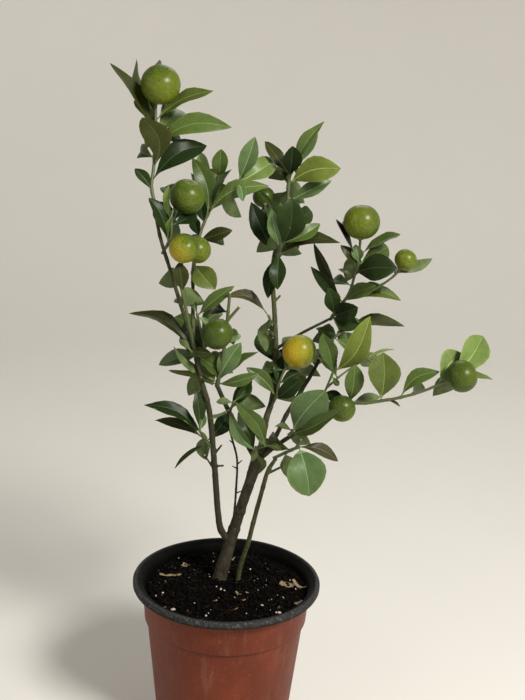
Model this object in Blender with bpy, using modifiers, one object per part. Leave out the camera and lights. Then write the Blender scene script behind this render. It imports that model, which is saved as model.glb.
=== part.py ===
"""Calamondin orange tree in its nursery pot, at real size.

Metres, +Z up. The origin is the centre of the pot's flat underside, and -Y faces the front.
Sizes below are in millimetres unless they say otherwise.
"""

import math
import random

import bmesh
import bpy
from mathutils import Vector
from mathutils.bvhtree import BVHTree

MM = 0.001
GAP = 0.3  # clear space between pieces that meet
CLOSEST = 0.25  # a piece nearer than this to another is turned or left out
MERGE = 0.00002  # metres

# Pot and soil
RIM_RADIUS = 75.0
RIM_TOP = 130.0
RIM_DEPTH = 5.6
COLLAR_TOP_RADIUS = 67.0
COLLAR_FOOT_RADIUS = 65.2
COLLAR_FOOT = 98.0
BODY_TOP_RADIUS = 63.0
BODY_FOOT_RADIUS = 53.0
BASE_RADIUS = 51.0
POT_WALL = 1.6
POT_STEPS = 36
SOIL_TOP = 122.0
DRAIN_HOLES = 6
DRAIN_HOLE_RADIUS = 4.5
DRAIN_RING_RADIUS = 37.0

# The front view looks down by this much, and the plant leans to one side in it by this much, in degrees
VIEW_PITCH = 14.2
VIEW_ROLL = 2.45

# Limbs: way points from foot to tip with the radius at each, as x, y, z, radius
LIMBS = {
    "trunk": [(-7, 10, 118, 6.6), (-4, 10, 132, 5.4), (2, 9, 158, 4.8), (11, 8, 193, 4.1),
              (16, 7, 211, 4.3), (20, 6, 228, 4.6), (23, 5, 237, 4.4)],
    "left_stem": [(2, 9, 156, 2.9), (-6, 7, 167, 2.7), (-9, 3, 186, 2.5), (-12, -5, 223, 2.4),
                  (-16, -14, 266, 2.2), (-19, -17, 283, 2.1), (-24, -20, 301, 2.1), (-31, -24, 334, 2.0)],
    "right_stem": [(8, 12, 117, 2.2), (11, 10, 137, 2.0), (16, 4, 158, 1.9), (20, 0, 180, 1.9),
                   (25, -4, 205, 1.8), (29, -7, 224, 1.7), (35, -9, 236, 1.5)],
    "dead_twig": [(2, 6, 166, 1.0), (4, 0, 183, 0.9), (5, -3, 206, 0.9), (5, -6, 232, 0.8),
                  (1, -9, 249, 0.8), (-2, -11, 260, 0.7)],
    "left_bough": [(18, 4, 232, 2.2), (10, 2, 246, 2.1), (-3, -4, 271, 1.9), (-12, -9, 292, 1.7)],
    "middle_bough": [(23, 6, 236, 2.7), (26, 8, 261, 2.5), (30, 9, 277, 2.3), (32, 12, 305, 2.1),
                     (29, 11, 345, 1.9), (26, 9, 378, 1.8), (29, 11, 402, 1.6), (35, 14, 430, 1.4)],
    "right_high_bough": [(25, 8, 234, 1.9), (34, 9, 247, 1.8), (43, 12, 267, 1.7), (61, 22, 297, 1.5),
                         (68, 28, 312, 1.4)],
    "right_low_bough": [(24, 2, 232, 1.9), (34, -2, 243, 1.8), (52, -8, 259, 1.6), (74, -18, 279, 1.4),
                        (85, -24, 288, 1.3)],
    "cross_bough": [(31, 12, 317, 1.3), (50, 21, 328, 1.2), (73, 30, 339, 1.1)],
    "outer_left_stem": [(-31, -24, 333, 1.6), (-38, -27, 353, 1.5), (-47, -30, 382, 1.4),
                        (-55, -30, 407, 1.3), (-60, -27, 431, 1.2)],
    "inner_left_stem": [(-30, -23, 332, 1.6), (-31, -18, 347, 1.5), (-32, -10, 362, 1.4), (-33, -4, 377, 1.3)],
}
FLAT_FOOT = ("trunk", "right_stem")
LIMB_CARRIERS = {
    "left_stem": ("trunk",), "dead_twig": ("trunk", "left_stem"), "left_bough": ("trunk",),
    "middle_bough": ("trunk", "left_bough"), "right_high_bough": ("trunk", "middle_bough"),
    "right_low_bough": ("trunk", "middle_bough", "right_high_bough"), "cross_bough": ("middle_bough",),
    "outer_left_stem": ("left_stem",), "inner_left_stem": ("left_stem", "outer_left_stem"),
}
LIMB_SIDES = {"trunk": 2, "left_stem": 1, "right_stem": 1, "middle_bough": 1}
LIMB_STEP = 11.0
SHORTEST = 1.5  # a shorter stretch of limb is left out after its foot is trimmed
TRIM_STEP = 0.1
CAP_SPOKES = 8

# Twigs and leaves
TWIG_STEP = 11.0
LEAF_STATIONS = (0.0, 0.36, 0.72, 1.0)
FOOT_HALF_WIDTH = 0.6
FOOT_HALF_DEPTH = 0.5
BLADE_HALF_DEPTH = 0.4
BLADE_FOLD = 0.22
BLADE_CAMBER = 0.09
GOLDEN_ANGLE = 137.5
FRUIT_SEGMENTS = 10
FRUIT_RINGS = 6
FRUIT_HEIGHT = 0.95  # as a share of its diameter
TURNS = (0, 14, -14, 28, -28, 42, -42)  # degrees a leaf may turn about the view to clear its neighbours
MOST_LEAN = 75  # degrees a leaf may turn towards the viewer or away
STEEP_LEAN = 60  # a leaf turned further than this is seen foreshortened
STEEP_REACH = 0.6
SEEDED_START = 0.25  # share of the shoot where the seeded leaves start
SEEDED_SPAN = 0.7
SEEDED_BACK, SEEDED_FRONT = -70, -35
SEEDED_LENGTH = (27, 37)
SEEDED_WIDTH = (0.36, 0.46)
SEEDED_SPIN = 35

# Each mass of foliage: the limb that carries it, how far it may reach from its stem, and its shoots, stem
# first. A shoot has way points, foot and tip radius, a fruit's diameter at its tip where there is one, the
# number of seeded leaves, which turn from `back` to `front` degrees towards the viewer, and the leaves
# that show. A leaf is: share of the shoot, clock angle from upright as seen from the front, reach across
# the view, turn towards the viewer, spin about its own axis, and width as a share of length.
MASSES = {
    "top_left_spray": ("outer_left_stem", 75, [
        dict(path=[(-60, -27, 432), (-62, -25, 441), (-61, -20, 455), (-61, -14, 480), (-61, -12, 497),
                   (-58, -12, 510)], radii=(1.3, 0.9), fruit=28, seeded=4, leaves=[
            (.31, -14, 32, 30, 0, .62), (.58, -33, 58, 8, -50, .30), (.75, -18, 47, -20, 50, .30),
            (.62, -10, 31, -35, 0, .50), (.60, 30, 28, -35, 0, .60), (.72, 63, 43, 15, 45, .36),
            (.46, 76, 56, 0, 25, .34), (.12, 50, 46, -10, 20, .32), (.10, -40, 19, 10, -30, .42)]),
    ]),
    "upper_left_spray": ("outer_left_stem", 60, [
        dict(path=[(-52, -30, 396), (-47, -33, 406), (-47, -30, 422), (-44, -24, 427), (-37, -20, 434)],
             radii=(1.1, 0.8), fruit=25.5, seeded=3, leaves=[
            (.18, -24, 33, 15, -30, .42), (.50, -5, 25, 20, 75, .30), (.20, 12, 18, 25, 60, .40),
            (.45, 30, 34, -30, 0, .40), (.22, -16, 33, -20, 0, .42)]),
    ]),
    "left_fruit_spray": ("left_stem", 60, [
        dict(path=[(-29, -24, 324), (-32, -33, 342), (-36, -37, 362), (-39, -38, 376), (-38, -38, 390),
                   (-37, -40, 400)],
             radii=(1.2, 0.8), fruit=21, seeded=3, leaves=[(.60, -5, 21, 20, 0, .50)]),
    ]),
    "mid_top_spray": ("inner_left_stem", 75, [
        dict(path=[(-33, -4, 378), (-30, 6, 400), (-26, 10, 413), (-21, 14, 425), (-13, 18, 445)],
             radii=(1.3, 0.8), fruit=0, seeded=4, leaves=[
            (.10, 140, 25, 30, 0, .60), (.38, -15, 15, 15, 0, .55), (.33, 73, 27, 10, 20, .38),
            (.60, -14, 43, 10, -10, .33), (.66, -27, 33, -15, -70, .35), (.80, -21, 38, -20, 25, .34),
            (.90, 3, 27, -10, 10, .45), (.65, 30, 31, 25, 60, .33), (.60, 75, 41, 30, 15, .33),
            (.52, -8, 19, 30, 0, .45)]),
        dict(path=[(-33, -3, 382), (-29, -18, 396)], radii=(0.9, 0.8), fruit=20, seeded=0, leaves=[]),
        dict(path=[(-21, 13, 424), (-11, 6, 433), (-1, 2, 445)], radii=(0.9, 0.8), fruit=0, seeded=1, leaves=[
            (.95, 15, 33, 20, 5, .42), (.90, 57, 28, -20, 0, .50)]),
    ]),
    "centre_spray": ("middle_bough", 60, [
        dict(path=[(28, 10, 389), (31, 0, 397), (31, -6, 410), (32, -8, 420)], radii=(1.2, 0.8), fruit=0,
             seeded=2, leaves=[
            (.15, -27, 43, 10, 0, .34), (.45, 3, 34, 35, 0, .55), (.50, 55, 20, -20, 0, .45),
            (.40, -14, 27, 35, 0, .30), (.25, 60, 31, 15, 15, .36), (.10, 72, 45, 10, 55, .30),
            (.25, 182, 28, 20, 0, .42), (.15, -168, 33, 10, 0, .34), (.80, -28, 34, -20, -75, .30)]),
        dict(path=[(31, -2, 402), (21, 8, 414), (17, 31, 431)], radii=(0.9, 0.8), fruit=17, seeded=0, leaves=[]),
    ]),
    "centre_top_spray": ("middle_bough", 60, [
        dict(path=[(35, 14, 430), (35, 15, 442), (36, 16, 452), (38, 17, 457)], radii=(1.3, 0.9), fruit=0,
             seeded=4, leaves=[
            (.75, -37, 29, 0, -50, .32), (.70, 3, 19, 35, 0, .75), (.80, 29, 41, -15, 20, .34),
            (.95, 31, 36, 10, 55, .30), (.45, 80, 37, 25, -10, .50), (.10, 62, 33, 5, 20, .34)]),
    ]),
    "right_top_spray": ("cross_bough", 75, [
        dict(path=[(74, 30, 340), (78, 28, 348), (83, 26, 355), (87, 24, 365), (89, 22, 376), (91, 20, 386),
                   (91, 17, 399), (91, 15, 417)], radii=(1.2, 0.8), fruit=27.5, seeded=4, leaves=[
            (.60, -25, 34, 15, -75, .32), (.55, -35, 22, 25, -20, .36), (.62, -10, 13, 30, 0, .60),
            (.70, 63, 34, 10, 60, .40), (.60, 58, 30, -20, 0, .50), (.50, 88, 27, 40, 0, .62),
            (.47, -62, 14, 10, -40, .35), (.20, -26, 50, 5, 40, .24), (.18, -32, 37, 20, 10, .33),
            (.06, -15, 24, 35, 0, .60), (.05, 40, 21, 45, 0, .70), (.22, 60, 23, 25, 20, .45),
            (.25, 88, 40, -10, 40, .30), (.03, 105, 20, 35, 0, .50)]),
        dict(path=[(84, 26, 357), (95, 20, 360), (105, 16, 367), (114, 14, 374), (120, 14, 380), (126, 15, 390)],
             radii=(1.0, 0.8), fruit=17, seeded=2, leaves=[(.78, 70, 28, -20, 0, .42)]),
    ]),
    "big_leaf_spray": ("right_low_bough", 60, [
        dict(path=[(44, -4, 254), (44, -13, 257), (46, -24, 264)], radii=(1.1, 0.9), fruit=0, seeded=1, leaves=[
            (.90, 50, 43, 30, 0, .55), (.60, 52, 27, -10, 40, .30)]),
    ]),
    "right_tip_spray": ("right_low_bough", 95, [
        dict(path=[(86, -25, 288), (98, -28, 289), (110, -30, 292), (123, -33, 296), (140, -36, 303),
                   (154, -38, 311), (165, -40, 316)], radii=(1.3, 0.9), fruit=23.5, seeded=4, leaves=[
            (.04, 6, 26, 20, 0, .50), (.03, -65, 18, -10, 0, .50), (.06, 80, 23, -20, 0, .36),
            (.30, 1, 36, 20, 0, .62), (.36, 118, 11, -10, 50, .30), (.47, 58, 32, 5, 20, .36),
            (.80, 42, 28, -25, 0, .50), (.90, 38, 41, -30, 0, .50), (.92, 90, 33, -15, 60, .36)]),
        dict(path=[(88, -26, 288), (81, -34, 286)], radii=(0.8, 0.8), fruit=20, seeded=0, leaves=[]),
    ]),
    "right_mid_spray": ("right_low_bough", 70, [
        dict(path=[(61, -12, 266), (65, -9, 276), (68, -8, 286), (71, -8, 295), (75, -9, 307)],
             radii=(1.1, 0.8), fruit=0, seeded=1, leaves=[
            (.97, -15, 30, 15, 0, .38), (.99, 34, 46, 25, 10, .42)]),
        dict(path=[(71, -8, 294), (83, 0, 303), (102, 6, 316)], radii=(0.9, 0.7), fruit=0, seeded=2, leaves=[
            (.95, 72, 23, -5, 65, .30)]),
    ]),
    "right_back_spray": ("right_high_bough", 60, [
        dict(path=[(68, 28, 313), (75, 34, 321), (86, 38, 329)], radii=(1.2, 0.8), fruit=0, seeded=6, leaves=[
            (.90, 86, 44, -10, 35, .26), (.80, 35, 14, 20, 0, .50)]),
    ]),
    "low_right_spray": ("right_stem", 50, [
        dict(path=[(35, -9, 237), (44, -12, 243), (53, -15, 249)], radii=(1.3, 1.2), fruit=0, seeded=2, leaves=[
            (.90, 115, 32, -15, 40, .28), (.93, 168, 37, 15, 0, .84)]),
    ]),
    "fork_spray": ("trunk", 50, [
        dict(path=[(17, 4, 232), (18, -5, 238), (19, -10, 245)], radii=(1.1, 0.8), fruit=0, seeded=1, leaves=[
            (.80, -29, 33, 25, 0, .32), (.60, -22, 34, -5, 0, .34)]),
        dict(path=[(18, -7, 241), (27, -12, 247)], radii=(0.8, 0.8), fruit=0, seeded=0, leaves=[
            (.90, -37, 36, 25, 0, .40)]),
    ]),
    "fork_left_spray": ("left_bough", 50, [
        dict(path=[(-2, -3, 269), (-1, -8, 274), (1, -13, 281)], radii=(1.0, 0.8), fruit=0, seeded=1, leaves=[
            (.40, 35, 29, 10, 0, .35), (.90, 45, 20, -15, 0, .42), (.50, -86, 20, 20, -75, .30)]),
    ]),
    "left_stem_spray": ("left_stem", 60, [
        dict(path=[(-14, -9, 243), (-19, -14, 249), (-24, -22, 261)], radii=(1.1, 0.8), fruit=0, seeded=3, leaves=[
            (.80, -67, 46, 10, -25, .26), (.55, -77, 39, -10, -35, .24), (.88, -4, 33, 10, -20, .26),
            (.95, 5, 33, -8, 0, .32), (.35, -126, 31, 15, -60, .26)]),
    ]),
    "left_shoulder_spray": ("left_stem", 65, [
        dict(path=[(-27, -21, 315), (-31, -28, 323)], radii=(1.0, 0.8), fruit=0, seeded=2, leaves=[
            (.85, -60, 54, 5, -25, .26)]),
    ]),
    "centre_low_spray": ("middle_bough", 60, [
        dict(path=[(29, 8, 271), (33, -1, 283), (35, -4, 296), (40, -3, 308), (49, 0, 319)],
             radii=(1.1, 0.8), fruit=26, seeded=2, leaves=[
            (.45, 31, 26, 25, 0, .50), (.47, -50, 15, 20, 0, .60), (.30, -22, 28, 15, 0, .40),
            (.68, 20, 24, -35, 0, .45), (.50, 60, 18, -10, 0, .50), (.25, 50, 24, 30, 0, .50)]),
    ]),
    "arching_leaf_spray": ("middle_bough", 60, [
        dict(path=[(30, 11, 336), (27, 5, 340), (24, 3, 346)], radii=(0.9, 0.8), fruit=0, seeded=2, leaves=[
            (.90, -66, 38, 10, -40, .28)]),
    ]),
    "back_left_spray": ("left_stem", 50, [
        dict(path=[(-24, -20, 302), (-25, -2, 309), (-23, 18, 324)], radii=(1.2, 0.8), fruit=0, seeded=8,
             back=-60, front=10, leaves=[]),
    ]),
    "lower_left_spray": ("left_bough", 80, [
        dict(path=[(-12, -9, 293), (-11, -12, 299), (-7, -22, 327), (-4, -30, 368)], radii=(1.5, 1.1), fruit=0,
             seeded=4, leaves=[
            (.06, -50, 39, 15, -20, .28), (.03, -62, 26, -15, -30, .36), (.07, 25, 35, 20, 0, .42),
            (.08, 52, 36, -5, 45, .30), (.10, 10, 22, -25, 0, .45), (.04, 77, 32, 15, -20, .28)]),
        dict(path=[(-11, -12, 298), (-20, -14, 315), (-25, -18, 337), (-28, -21, 350)], radii=(1.0, 0.8),
             fruit=0, seeded=2, leaves=[(.96, 51, 34, 15, 10, .28), (.45, -40, 21, -20, 0, .65)]),
        dict(path=[(-24, -17, 334), (-21, -24, 342), (-12, -30, 337)], radii=(0.8, 0.8), fruit=23, seeded=0,
             leaves=[]),
    ]),
    "back_low_spray": ("middle_bough", 55, [
        dict(path=[(32, 12, 300), (38, 26, 300), (46, 42, 310)], radii=(1.3, 0.8), fruit=0, seeded=8, back=-65,
             front=-10, leaves=[]),
    ]),
    "back_top_spray": ("middle_bough", 50, [
        dict(path=[(33, 13, 412), (36, 30, 410), (38, 46, 416)], radii=(1.3, 0.8), fruit=0, seeded=7, back=-65,
             front=-15, leaves=[]),
    ]),
}


def point(xyz):
    """A place given in millimetres, in metres."""
    return Vector(xyz[:3]) * MM


def view_axes():
    """Right, up and towards the viewer, as unit vectors of the front view."""
    pitch, roll = math.radians(VIEW_PITCH), math.radians(VIEW_ROLL)
    level_up = Vector((0, math.sin(pitch), math.cos(pitch)))
    right = Vector((1, 0, 0)) * math.cos(roll) + level_up * math.sin(roll)
    up = level_up * math.cos(roll) - Vector((1, 0, 0)) * math.sin(roll)
    return right, up, Vector((0, -math.cos(pitch), math.sin(pitch)))


RIGHT, UP, TOWARDS = view_axes()


def clear_scene():
    for item in list(bpy.data.objects):
        bpy.data.objects.remove(item, do_unlink=True)


def collection(name):
    made = bpy.data.collections.new(name)
    bpy.context.scene.collection.children.link(made)
    return made


def material(name, color, roughness):
    made = bpy.data.materials.new(name)
    made.use_nodes = True
    shader = made.node_tree.nodes["Principled BSDF"]
    shader.inputs["Base Color"].default_value = (*color, 1)
    shader.inputs["Roughness"].default_value = roughness
    shader.inputs["Metallic"].default_value = 0.0
    return made


def link(mesh, name, finish, home):
    made = bpy.data.objects.new(name, mesh)
    mesh.materials.clear()
    mesh.materials.append(finish)
    home.objects.link(made)
    return made


def smooth_path(ways, step):
    """Samples of a smooth curve through the way points, about `step` apart, with a share of the way each."""
    ends = [2 * ways[0] - ways[1], *ways, 2 * ways[-1] - ways[-2]]
    samples = []
    for i in range(1, len(ends) - 2):
        a, b, c, d = ends[i - 1:i + 3]
        pieces = max(1, round((c.xyz - b.xyz).length / step))
        for k in range(pieces):
            t = k / pieces
            samples.append(0.5 * (2 * b + (c - a) * t + (2 * a - 5 * b + 4 * c - d) * t ** 2
                                  + (3 * b - a - 3 * c + d) * t ** 3))
    samples.append(ways[-1].copy())
    return samples


def tube_mesh(samples, sides):
    """A closed tapering tube along samples of x, y, z and radius."""
    curve = bpy.data.curves.new("tube", "CURVE")
    curve.dimensions = "3D"
    curve.bevel_depth = 1.0
    curve.bevel_resolution = sides
    curve.use_fill_caps = True
    spline = curve.splines.new("POLY")
    spline.points.add(len(samples) - 1)
    for place, sample in zip(spline.points, samples):
        place.co = (*sample.xyz, 1)
        place.radius = sample.w
    holder = bpy.data.objects.new("tube", curve)
    bpy.context.scene.collection.objects.link(holder)
    mesh = bpy.data.meshes.new_from_object(holder.evaluated_get(bpy.context.evaluated_depsgraph_get()))
    bpy.data.objects.remove(holder)
    bpy.data.curves.remove(curve)
    body = bmesh.new()
    body.from_mesh(mesh)
    bmesh.ops.remove_doubles(body, verts=body.verts, dist=MERGE)
    bmesh.ops.recalc_face_normals(body, faces=body.faces)
    body.to_mesh(mesh)
    body.free()
    return mesh


def cut_flat(mesh, height):
    """Cuts a mesh level at a height and closes it there."""
    body = bmesh.new()
    body.from_mesh(mesh)
    cut = bmesh.ops.bisect_plane(body, geom=[*body.verts, *body.edges, *body.faces],
                                 plane_co=(0, 0, height), plane_no=(0, 0, 1), clear_inner=True)
    edges = [e for e in cut["geom_cut"] if isinstance(e, bmesh.types.BMEdge)]
    bmesh.ops.contextual_create(body, geom=edges)
    bmesh.ops.recalc_face_normals(body, faces=body.faces)
    body.to_mesh(mesh)
    body.free()


def tree_of(mesh):
    return BVHTree.FromPolygons([v.co for v in mesh.vertices], [p.vertices for p in mesh.polygons])


def outside(tree, place, least):
    """Whether a place lies outside a solid, at least so far from it."""
    hit, normal, _, distance = tree.find_nearest(place)
    return distance >= least and (place - hit).dot(normal) > 0


def cap_is_clear(tree, centre, ahead, radius):
    """Whether a flat round end stands clear of a solid."""
    across = ahead.orthogonal().normalized()
    over = ahead.cross(across).normalized()
    places = [centre]
    for k in range(CAP_SPOKES):
        turn = 2 * math.pi * k / CAP_SPOKES
        spoke = across * math.cos(turn) + over * math.sin(turn)
        places += [centre + spoke * radius, centre + spoke * radius / 2]
    return all(outside(tree, place, GAP * MM) for place in places)


def trim_foot(samples, tree):
    """Starts a tube at the first place on its way where its foot stands just clear of what carries it."""
    fine = TRIM_STEP * MM
    for i in range(len(samples) - 1):
        a, b = samples[i], samples[i + 1]
        steps = max(1, int((b.xyz - a.xyz).length / fine))
        ahead = (b.xyz - a.xyz).normalized()
        for k in range(steps):
            start = a.lerp(b, k / steps)
            if cap_is_clear(tree, start.xyz, ahead, start.w):
                rest = samples[i + 1:]
                while len(rest) > 1 and (rest[0].xyz - start.xyz).length < SHORTEST * MM:
                    rest = rest[1:]
                return [start, *rest]
    raise ValueError("a limb never leaves what carries it")


def limb_samples(ways, step):
    return smooth_path([Vector((*point(way), way[3] * MM)) for way in ways], step * MM)


def touches(mesh, trees):
    """Whether a closed mesh comes nearer than the gap to any of the solids."""
    own = tree_of(mesh)
    places = [v.co for v in mesh.vertices]
    places += [sum((mesh.vertices[i].co for i in p.vertices), Vector()) / len(p.vertices) for p in mesh.polygons]
    for tree in trees:
        if own.overlap(tree):
            return True
        for place in places:
            if tree.find_nearest(place)[3] < CLOSEST * MM:
                return True
    return False


def blade_half_width(share, width):
    """Half the width of a leaf at a share of its length: a pointed oval on a narrow foot."""
    foot = FOOT_HALF_WIDTH * MM
    return foot + (width / 2 - foot) * math.sin(math.pi * share ** 1.1) ** 0.8


def leaf_mesh(foot, clock, reach, lean, spin, plump):
    """A leaf as a thin closed blade with a fold along its midrib, from its foot inside a twig."""
    clock, lean, spin = (math.radians(a) for a in (clock, lean, spin))
    length = reach * MM / math.cos(lean)
    axis = (RIGHT * math.sin(clock) + UP * math.cos(clock)) * math.cos(lean) + TOWARDS * math.sin(lean)
    faced = (TOWARDS - axis * axis.dot(TOWARDS)).normalized()
    face = faced * math.cos(spin) + faced.cross(axis) * math.sin(spin)
    side = face.cross(axis).normalized()
    body = bmesh.new()
    rings = []
    for share in LEAF_STATIONS[:-1]:
        half = blade_half_width(share, length * plump)
        depth = (BLADE_HALF_DEPTH if share else FOOT_HALF_DEPTH) * MM
        middle = foot + axis * length * share + face * BLADE_CAMBER * length * math.sin(math.pi * share)
        fold = face * half * BLADE_FOLD if share else Vector()
        rings.append([body.verts.new(p) for p in (middle + side * half + fold, middle + face * depth,
                                                  middle - side * half + fold, middle - face * depth)])
    tip = body.verts.new(foot + axis * length)
    body.faces.new(rings[0])
    for near, far in zip(rings, rings[1:]):
        for k in range(4):
            body.faces.new((near[k], near[(k + 1) % 4], far[(k + 1) % 4], far[k]))
    for k in range(4):
        body.faces.new((rings[-1][k], rings[-1][(k + 1) % 4], tip))
    bmesh.ops.triangulate(body, faces=body.faces)
    bmesh.ops.recalc_face_normals(body, faces=body.faces)
    mesh = bpy.data.meshes.new("leaf")
    body.to_mesh(mesh)
    body.free()
    return mesh


def fruit_mesh(centre, diameter):
    """A round fruit, slightly flattened from stalk to tip."""
    body = bmesh.new()
    bmesh.ops.create_uvsphere(body, u_segments=FRUIT_SEGMENTS, v_segments=FRUIT_RINGS, radius=diameter / 2 * MM)
    bmesh.ops.scale(body, vec=(1, 1, FRUIT_HEIGHT), verts=body.verts)
    bmesh.ops.translate(body, vec=centre, verts=body.verts)
    mesh = bpy.data.meshes.new("fruit")
    body.to_mesh(mesh)
    body.free()
    return mesh


def seeded_leaves(shoot, source):
    """Leaves by rule: each stands a golden angle further round its shoot than the one below it."""
    count = shoot["seeded"]
    start = source.uniform(0, 360)
    back, front = shoot.get("back", SEEDED_BACK), shoot.get("front", SEEDED_FRONT)
    rows = []
    for k in range(count):
        share = SEEDED_START + SEEDED_SPAN * (k + source.random()) / count
        lean = source.uniform(back, front)
        length = source.uniform(*SEEDED_LENGTH)
        rows.append((share, start + GOLDEN_ANGLE * k, length * math.cos(math.radians(lean)), lean,
                     source.uniform(-SEEDED_SPIN, SEEDED_SPIN), source.uniform(*SEEDED_WIDTH)))
    return rows


def place_on(samples, share):
    """The place at a share of a sampled way."""
    lengths = [(b.xyz - a.xyz).length for a, b in zip(samples, samples[1:])]
    left = share * sum(lengths)
    for a, b, length in zip(samples, samples[1:], lengths):
        if left <= length:
            return a.xyz.lerp(b.xyz, left / length)
        left -= length
    return samples[-1].xyz


def fits(mesh, trees, centre, space):
    inside = all((v.co - centre).length < space * MM for v in mesh.vertices)
    return inside and not touches(mesh, trees)


def grow_twigs(shoots, carrier):
    """The samples of each shoot of a mass, and the closed meshes of its twigs and fruit."""
    ways, pieces = [], []
    for order, shoot in enumerate(shoots):
        first, last = shoot["radii"]
        path = shoot["path"]
        taper = [first + (last - first) * i / (len(path) - 1) for i in range(len(path))]
        samples = limb_samples([(*place, radius) for place, radius in zip(path, taper)], TWIG_STEP)
        if order == 0:
            samples = trim_foot(samples, carrier)
        ways.append(samples)
        pieces.append(tube_mesh(samples, 0))
        if shoot["fruit"]:
            pieces.append(fruit_mesh(samples[-1].xyz, shoot["fruit"]))
    return ways, pieces


def grow_leaves(number, shoots, ways, space, trees):
    """The leaves of a mass that keep to its space and clear of all the solids given."""
    source = random.Random(number)
    centre = place_on(ways[0], 0.5)
    leaves = []
    for shoot, samples in zip(shoots, ways):
        for share, clock, reach, lean, spin, plump in [*shoot["leaves"], *seeded_leaves(shoot, source)]:
            foot = place_on(samples, share)
            for turn in TURNS:
                seen = reach if abs(lean + turn) < STEEP_LEAN else reach * STEEP_REACH
                turned = max(-MOST_LEAN, min(MOST_LEAN, lean + turn))
                leaf = leaf_mesh(foot, clock, seen, turned, spin, plump)
                if fits(leaf, trees, centre, space):
                    leaves.append(leaf)
                    break
    return leaves


def join_mass(name, pieces, finish, home):
    """One solid from the pieces of a mass, by one union with a collection."""
    body = link(pieces[0], name, finish, home)
    others = collection(name + "_pieces")
    for mesh in pieces[1:]:
        link(mesh, mesh.name, finish, others)
    union = body.modifiers.new("union", "BOOLEAN")
    union.operation = "UNION"
    union.operand_type = "COLLECTION"
    union.collection = others
    for solver in ("EXACT", "MANIFOLD"):
        union.solver = solver
        joined = bpy.data.meshes.new_from_object(body.evaluated_get(bpy.context.evaluated_depsgraph_get()))
        tidy_solid(joined)
        if is_closed(joined):
            break
    else:
        raise ValueError(f"{name} doesn't join into a closed solid")
    body.modifiers.clear()
    body.data = joined
    for item in list(others.objects):
        bpy.data.objects.remove(item, do_unlink=True)
    bpy.data.collections.remove(others)
    return body


def is_closed(mesh):
    """Whether every edge has just two faces."""
    body = bmesh.new()
    body.from_mesh(mesh)
    closed = all(len(edge.link_faces) == 2 for edge in body.edges)
    body.free()
    return closed


def tidy_solid(mesh):
    """Drops the loose scraps and sealed hollows that a union leaves."""
    body = bmesh.new()
    body.from_mesh(mesh)
    bmesh.ops.triangulate(body, faces=body.faces)
    keep = max(islands(body), key=len)
    bmesh.ops.delete(body, geom=[v for v in body.verts if v not in keep], context="VERTS")
    body.to_mesh(mesh)
    body.free()


def islands(body):
    """The sets of vertices that hang together."""
    left = set(body.verts)
    found = []
    while left:
        front = [left.pop()]
        group = set(front)
        while front:
            for edge in front.pop().link_edges:
                for vertex in edge.verts:
                    if vertex in left:
                        left.remove(vertex)
                        group.add(vertex)
                        front.append(vertex)
        found.append(group)
    return found


def turned_solid(name, profile, steps, finish, home):
    """A solid of revolution from a profile of radius and height that runs down its outer side."""
    body = bmesh.new()
    verts = [body.verts.new((r * MM, 0, z * MM)) for r, z in profile]
    for a, b in zip(verts, verts[1:]):
        body.edges.new((a, b))
    mesh = bpy.data.meshes.new(name)
    body.to_mesh(mesh)
    body.free()
    made = link(mesh, name, finish, home)
    screw = made.modifiers.new("turn", "SCREW")
    screw.steps = screw.render_steps = steps
    screw.use_merge_vertices = True
    screw.merge_threshold = MERGE
    return made


def pot_inner_wall():
    """The pot's inside from the mouth down to the middle of its floor."""
    return [(COLLAR_TOP_RADIUS - POT_WALL, RIM_TOP - RIM_DEPTH - 2), (COLLAR_FOOT_RADIUS - POT_WALL, COLLAR_FOOT + 1),
            (BODY_TOP_RADIUS - POT_WALL, COLLAR_FOOT - 2.5), (BODY_FOOT_RADIUS - POT_WALL, 3.5),
            (BASE_RADIUS - POT_WALL, POT_WALL), (0, POT_WALL)]


def make_pot(finish, home, tools):
    lip_foot = RIM_TOP - RIM_DEPTH
    inside = pot_inner_wall()
    profile = [(inside[0][0] + 1.6, RIM_TOP - 2.6), (RIM_RADIUS - 5, RIM_TOP - 0.5), (RIM_RADIUS - 3, RIM_TOP),
               (RIM_RADIUS - 1, RIM_TOP - 0.6), (RIM_RADIUS, RIM_TOP - 2.2), (RIM_RADIUS, lip_foot + 1.2),
               (RIM_RADIUS - 1.4, lip_foot), (COLLAR_TOP_RADIUS + 1.2, lip_foot - 0.2),
               (COLLAR_TOP_RADIUS, lip_foot - 2), (COLLAR_FOOT_RADIUS, COLLAR_FOOT),
               (BODY_TOP_RADIUS, COLLAR_FOOT - 1.8), (BODY_FOOT_RADIUS, 2.5), (BASE_RADIUS, 0), (0, 0)]
    pot = turned_solid("pot", [(0, POT_WALL), *reversed(inside[:-1]), *profile], POT_STEPS, finish, home)
    for k in range(DRAIN_HOLES):
        turn = 2 * math.pi * (k + 0.5) / DRAIN_HOLES
        bpy.ops.mesh.primitive_cylinder_add(
            vertices=12, radius=DRAIN_HOLE_RADIUS * MM, depth=10 * MM,
            location=(DRAIN_RING_RADIUS * math.cos(turn) * MM, DRAIN_RING_RADIUS * math.sin(turn) * MM, 0))
        cutter = bpy.context.object
        cutter.name = f"drain_cutter_{k}"
        for home_now in list(cutter.users_collection):
            home_now.objects.unlink(cutter)
        tools.objects.link(cutter)
        cutter.hide_render = True
        cutter.display_type = "WIRE"
        cut = pot.modifiers.new(f"drain_{k}", "BOOLEAN")
        cut.object = cutter
        cut.operation = "DIFFERENCE"
    return pot


def make_soil(finish, home):
    """The soil that fills the pot, level on top and just clear of the wall."""
    inside = [(max(0, r - GAP), z + GAP) for r, z in pot_inner_wall()]
    mouth = (inside[0][0], SOIL_TOP)
    return turned_solid("soil", [(0, SOIL_TOP), mouth, *inside[1:]], POT_STEPS, finish, home)


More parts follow.
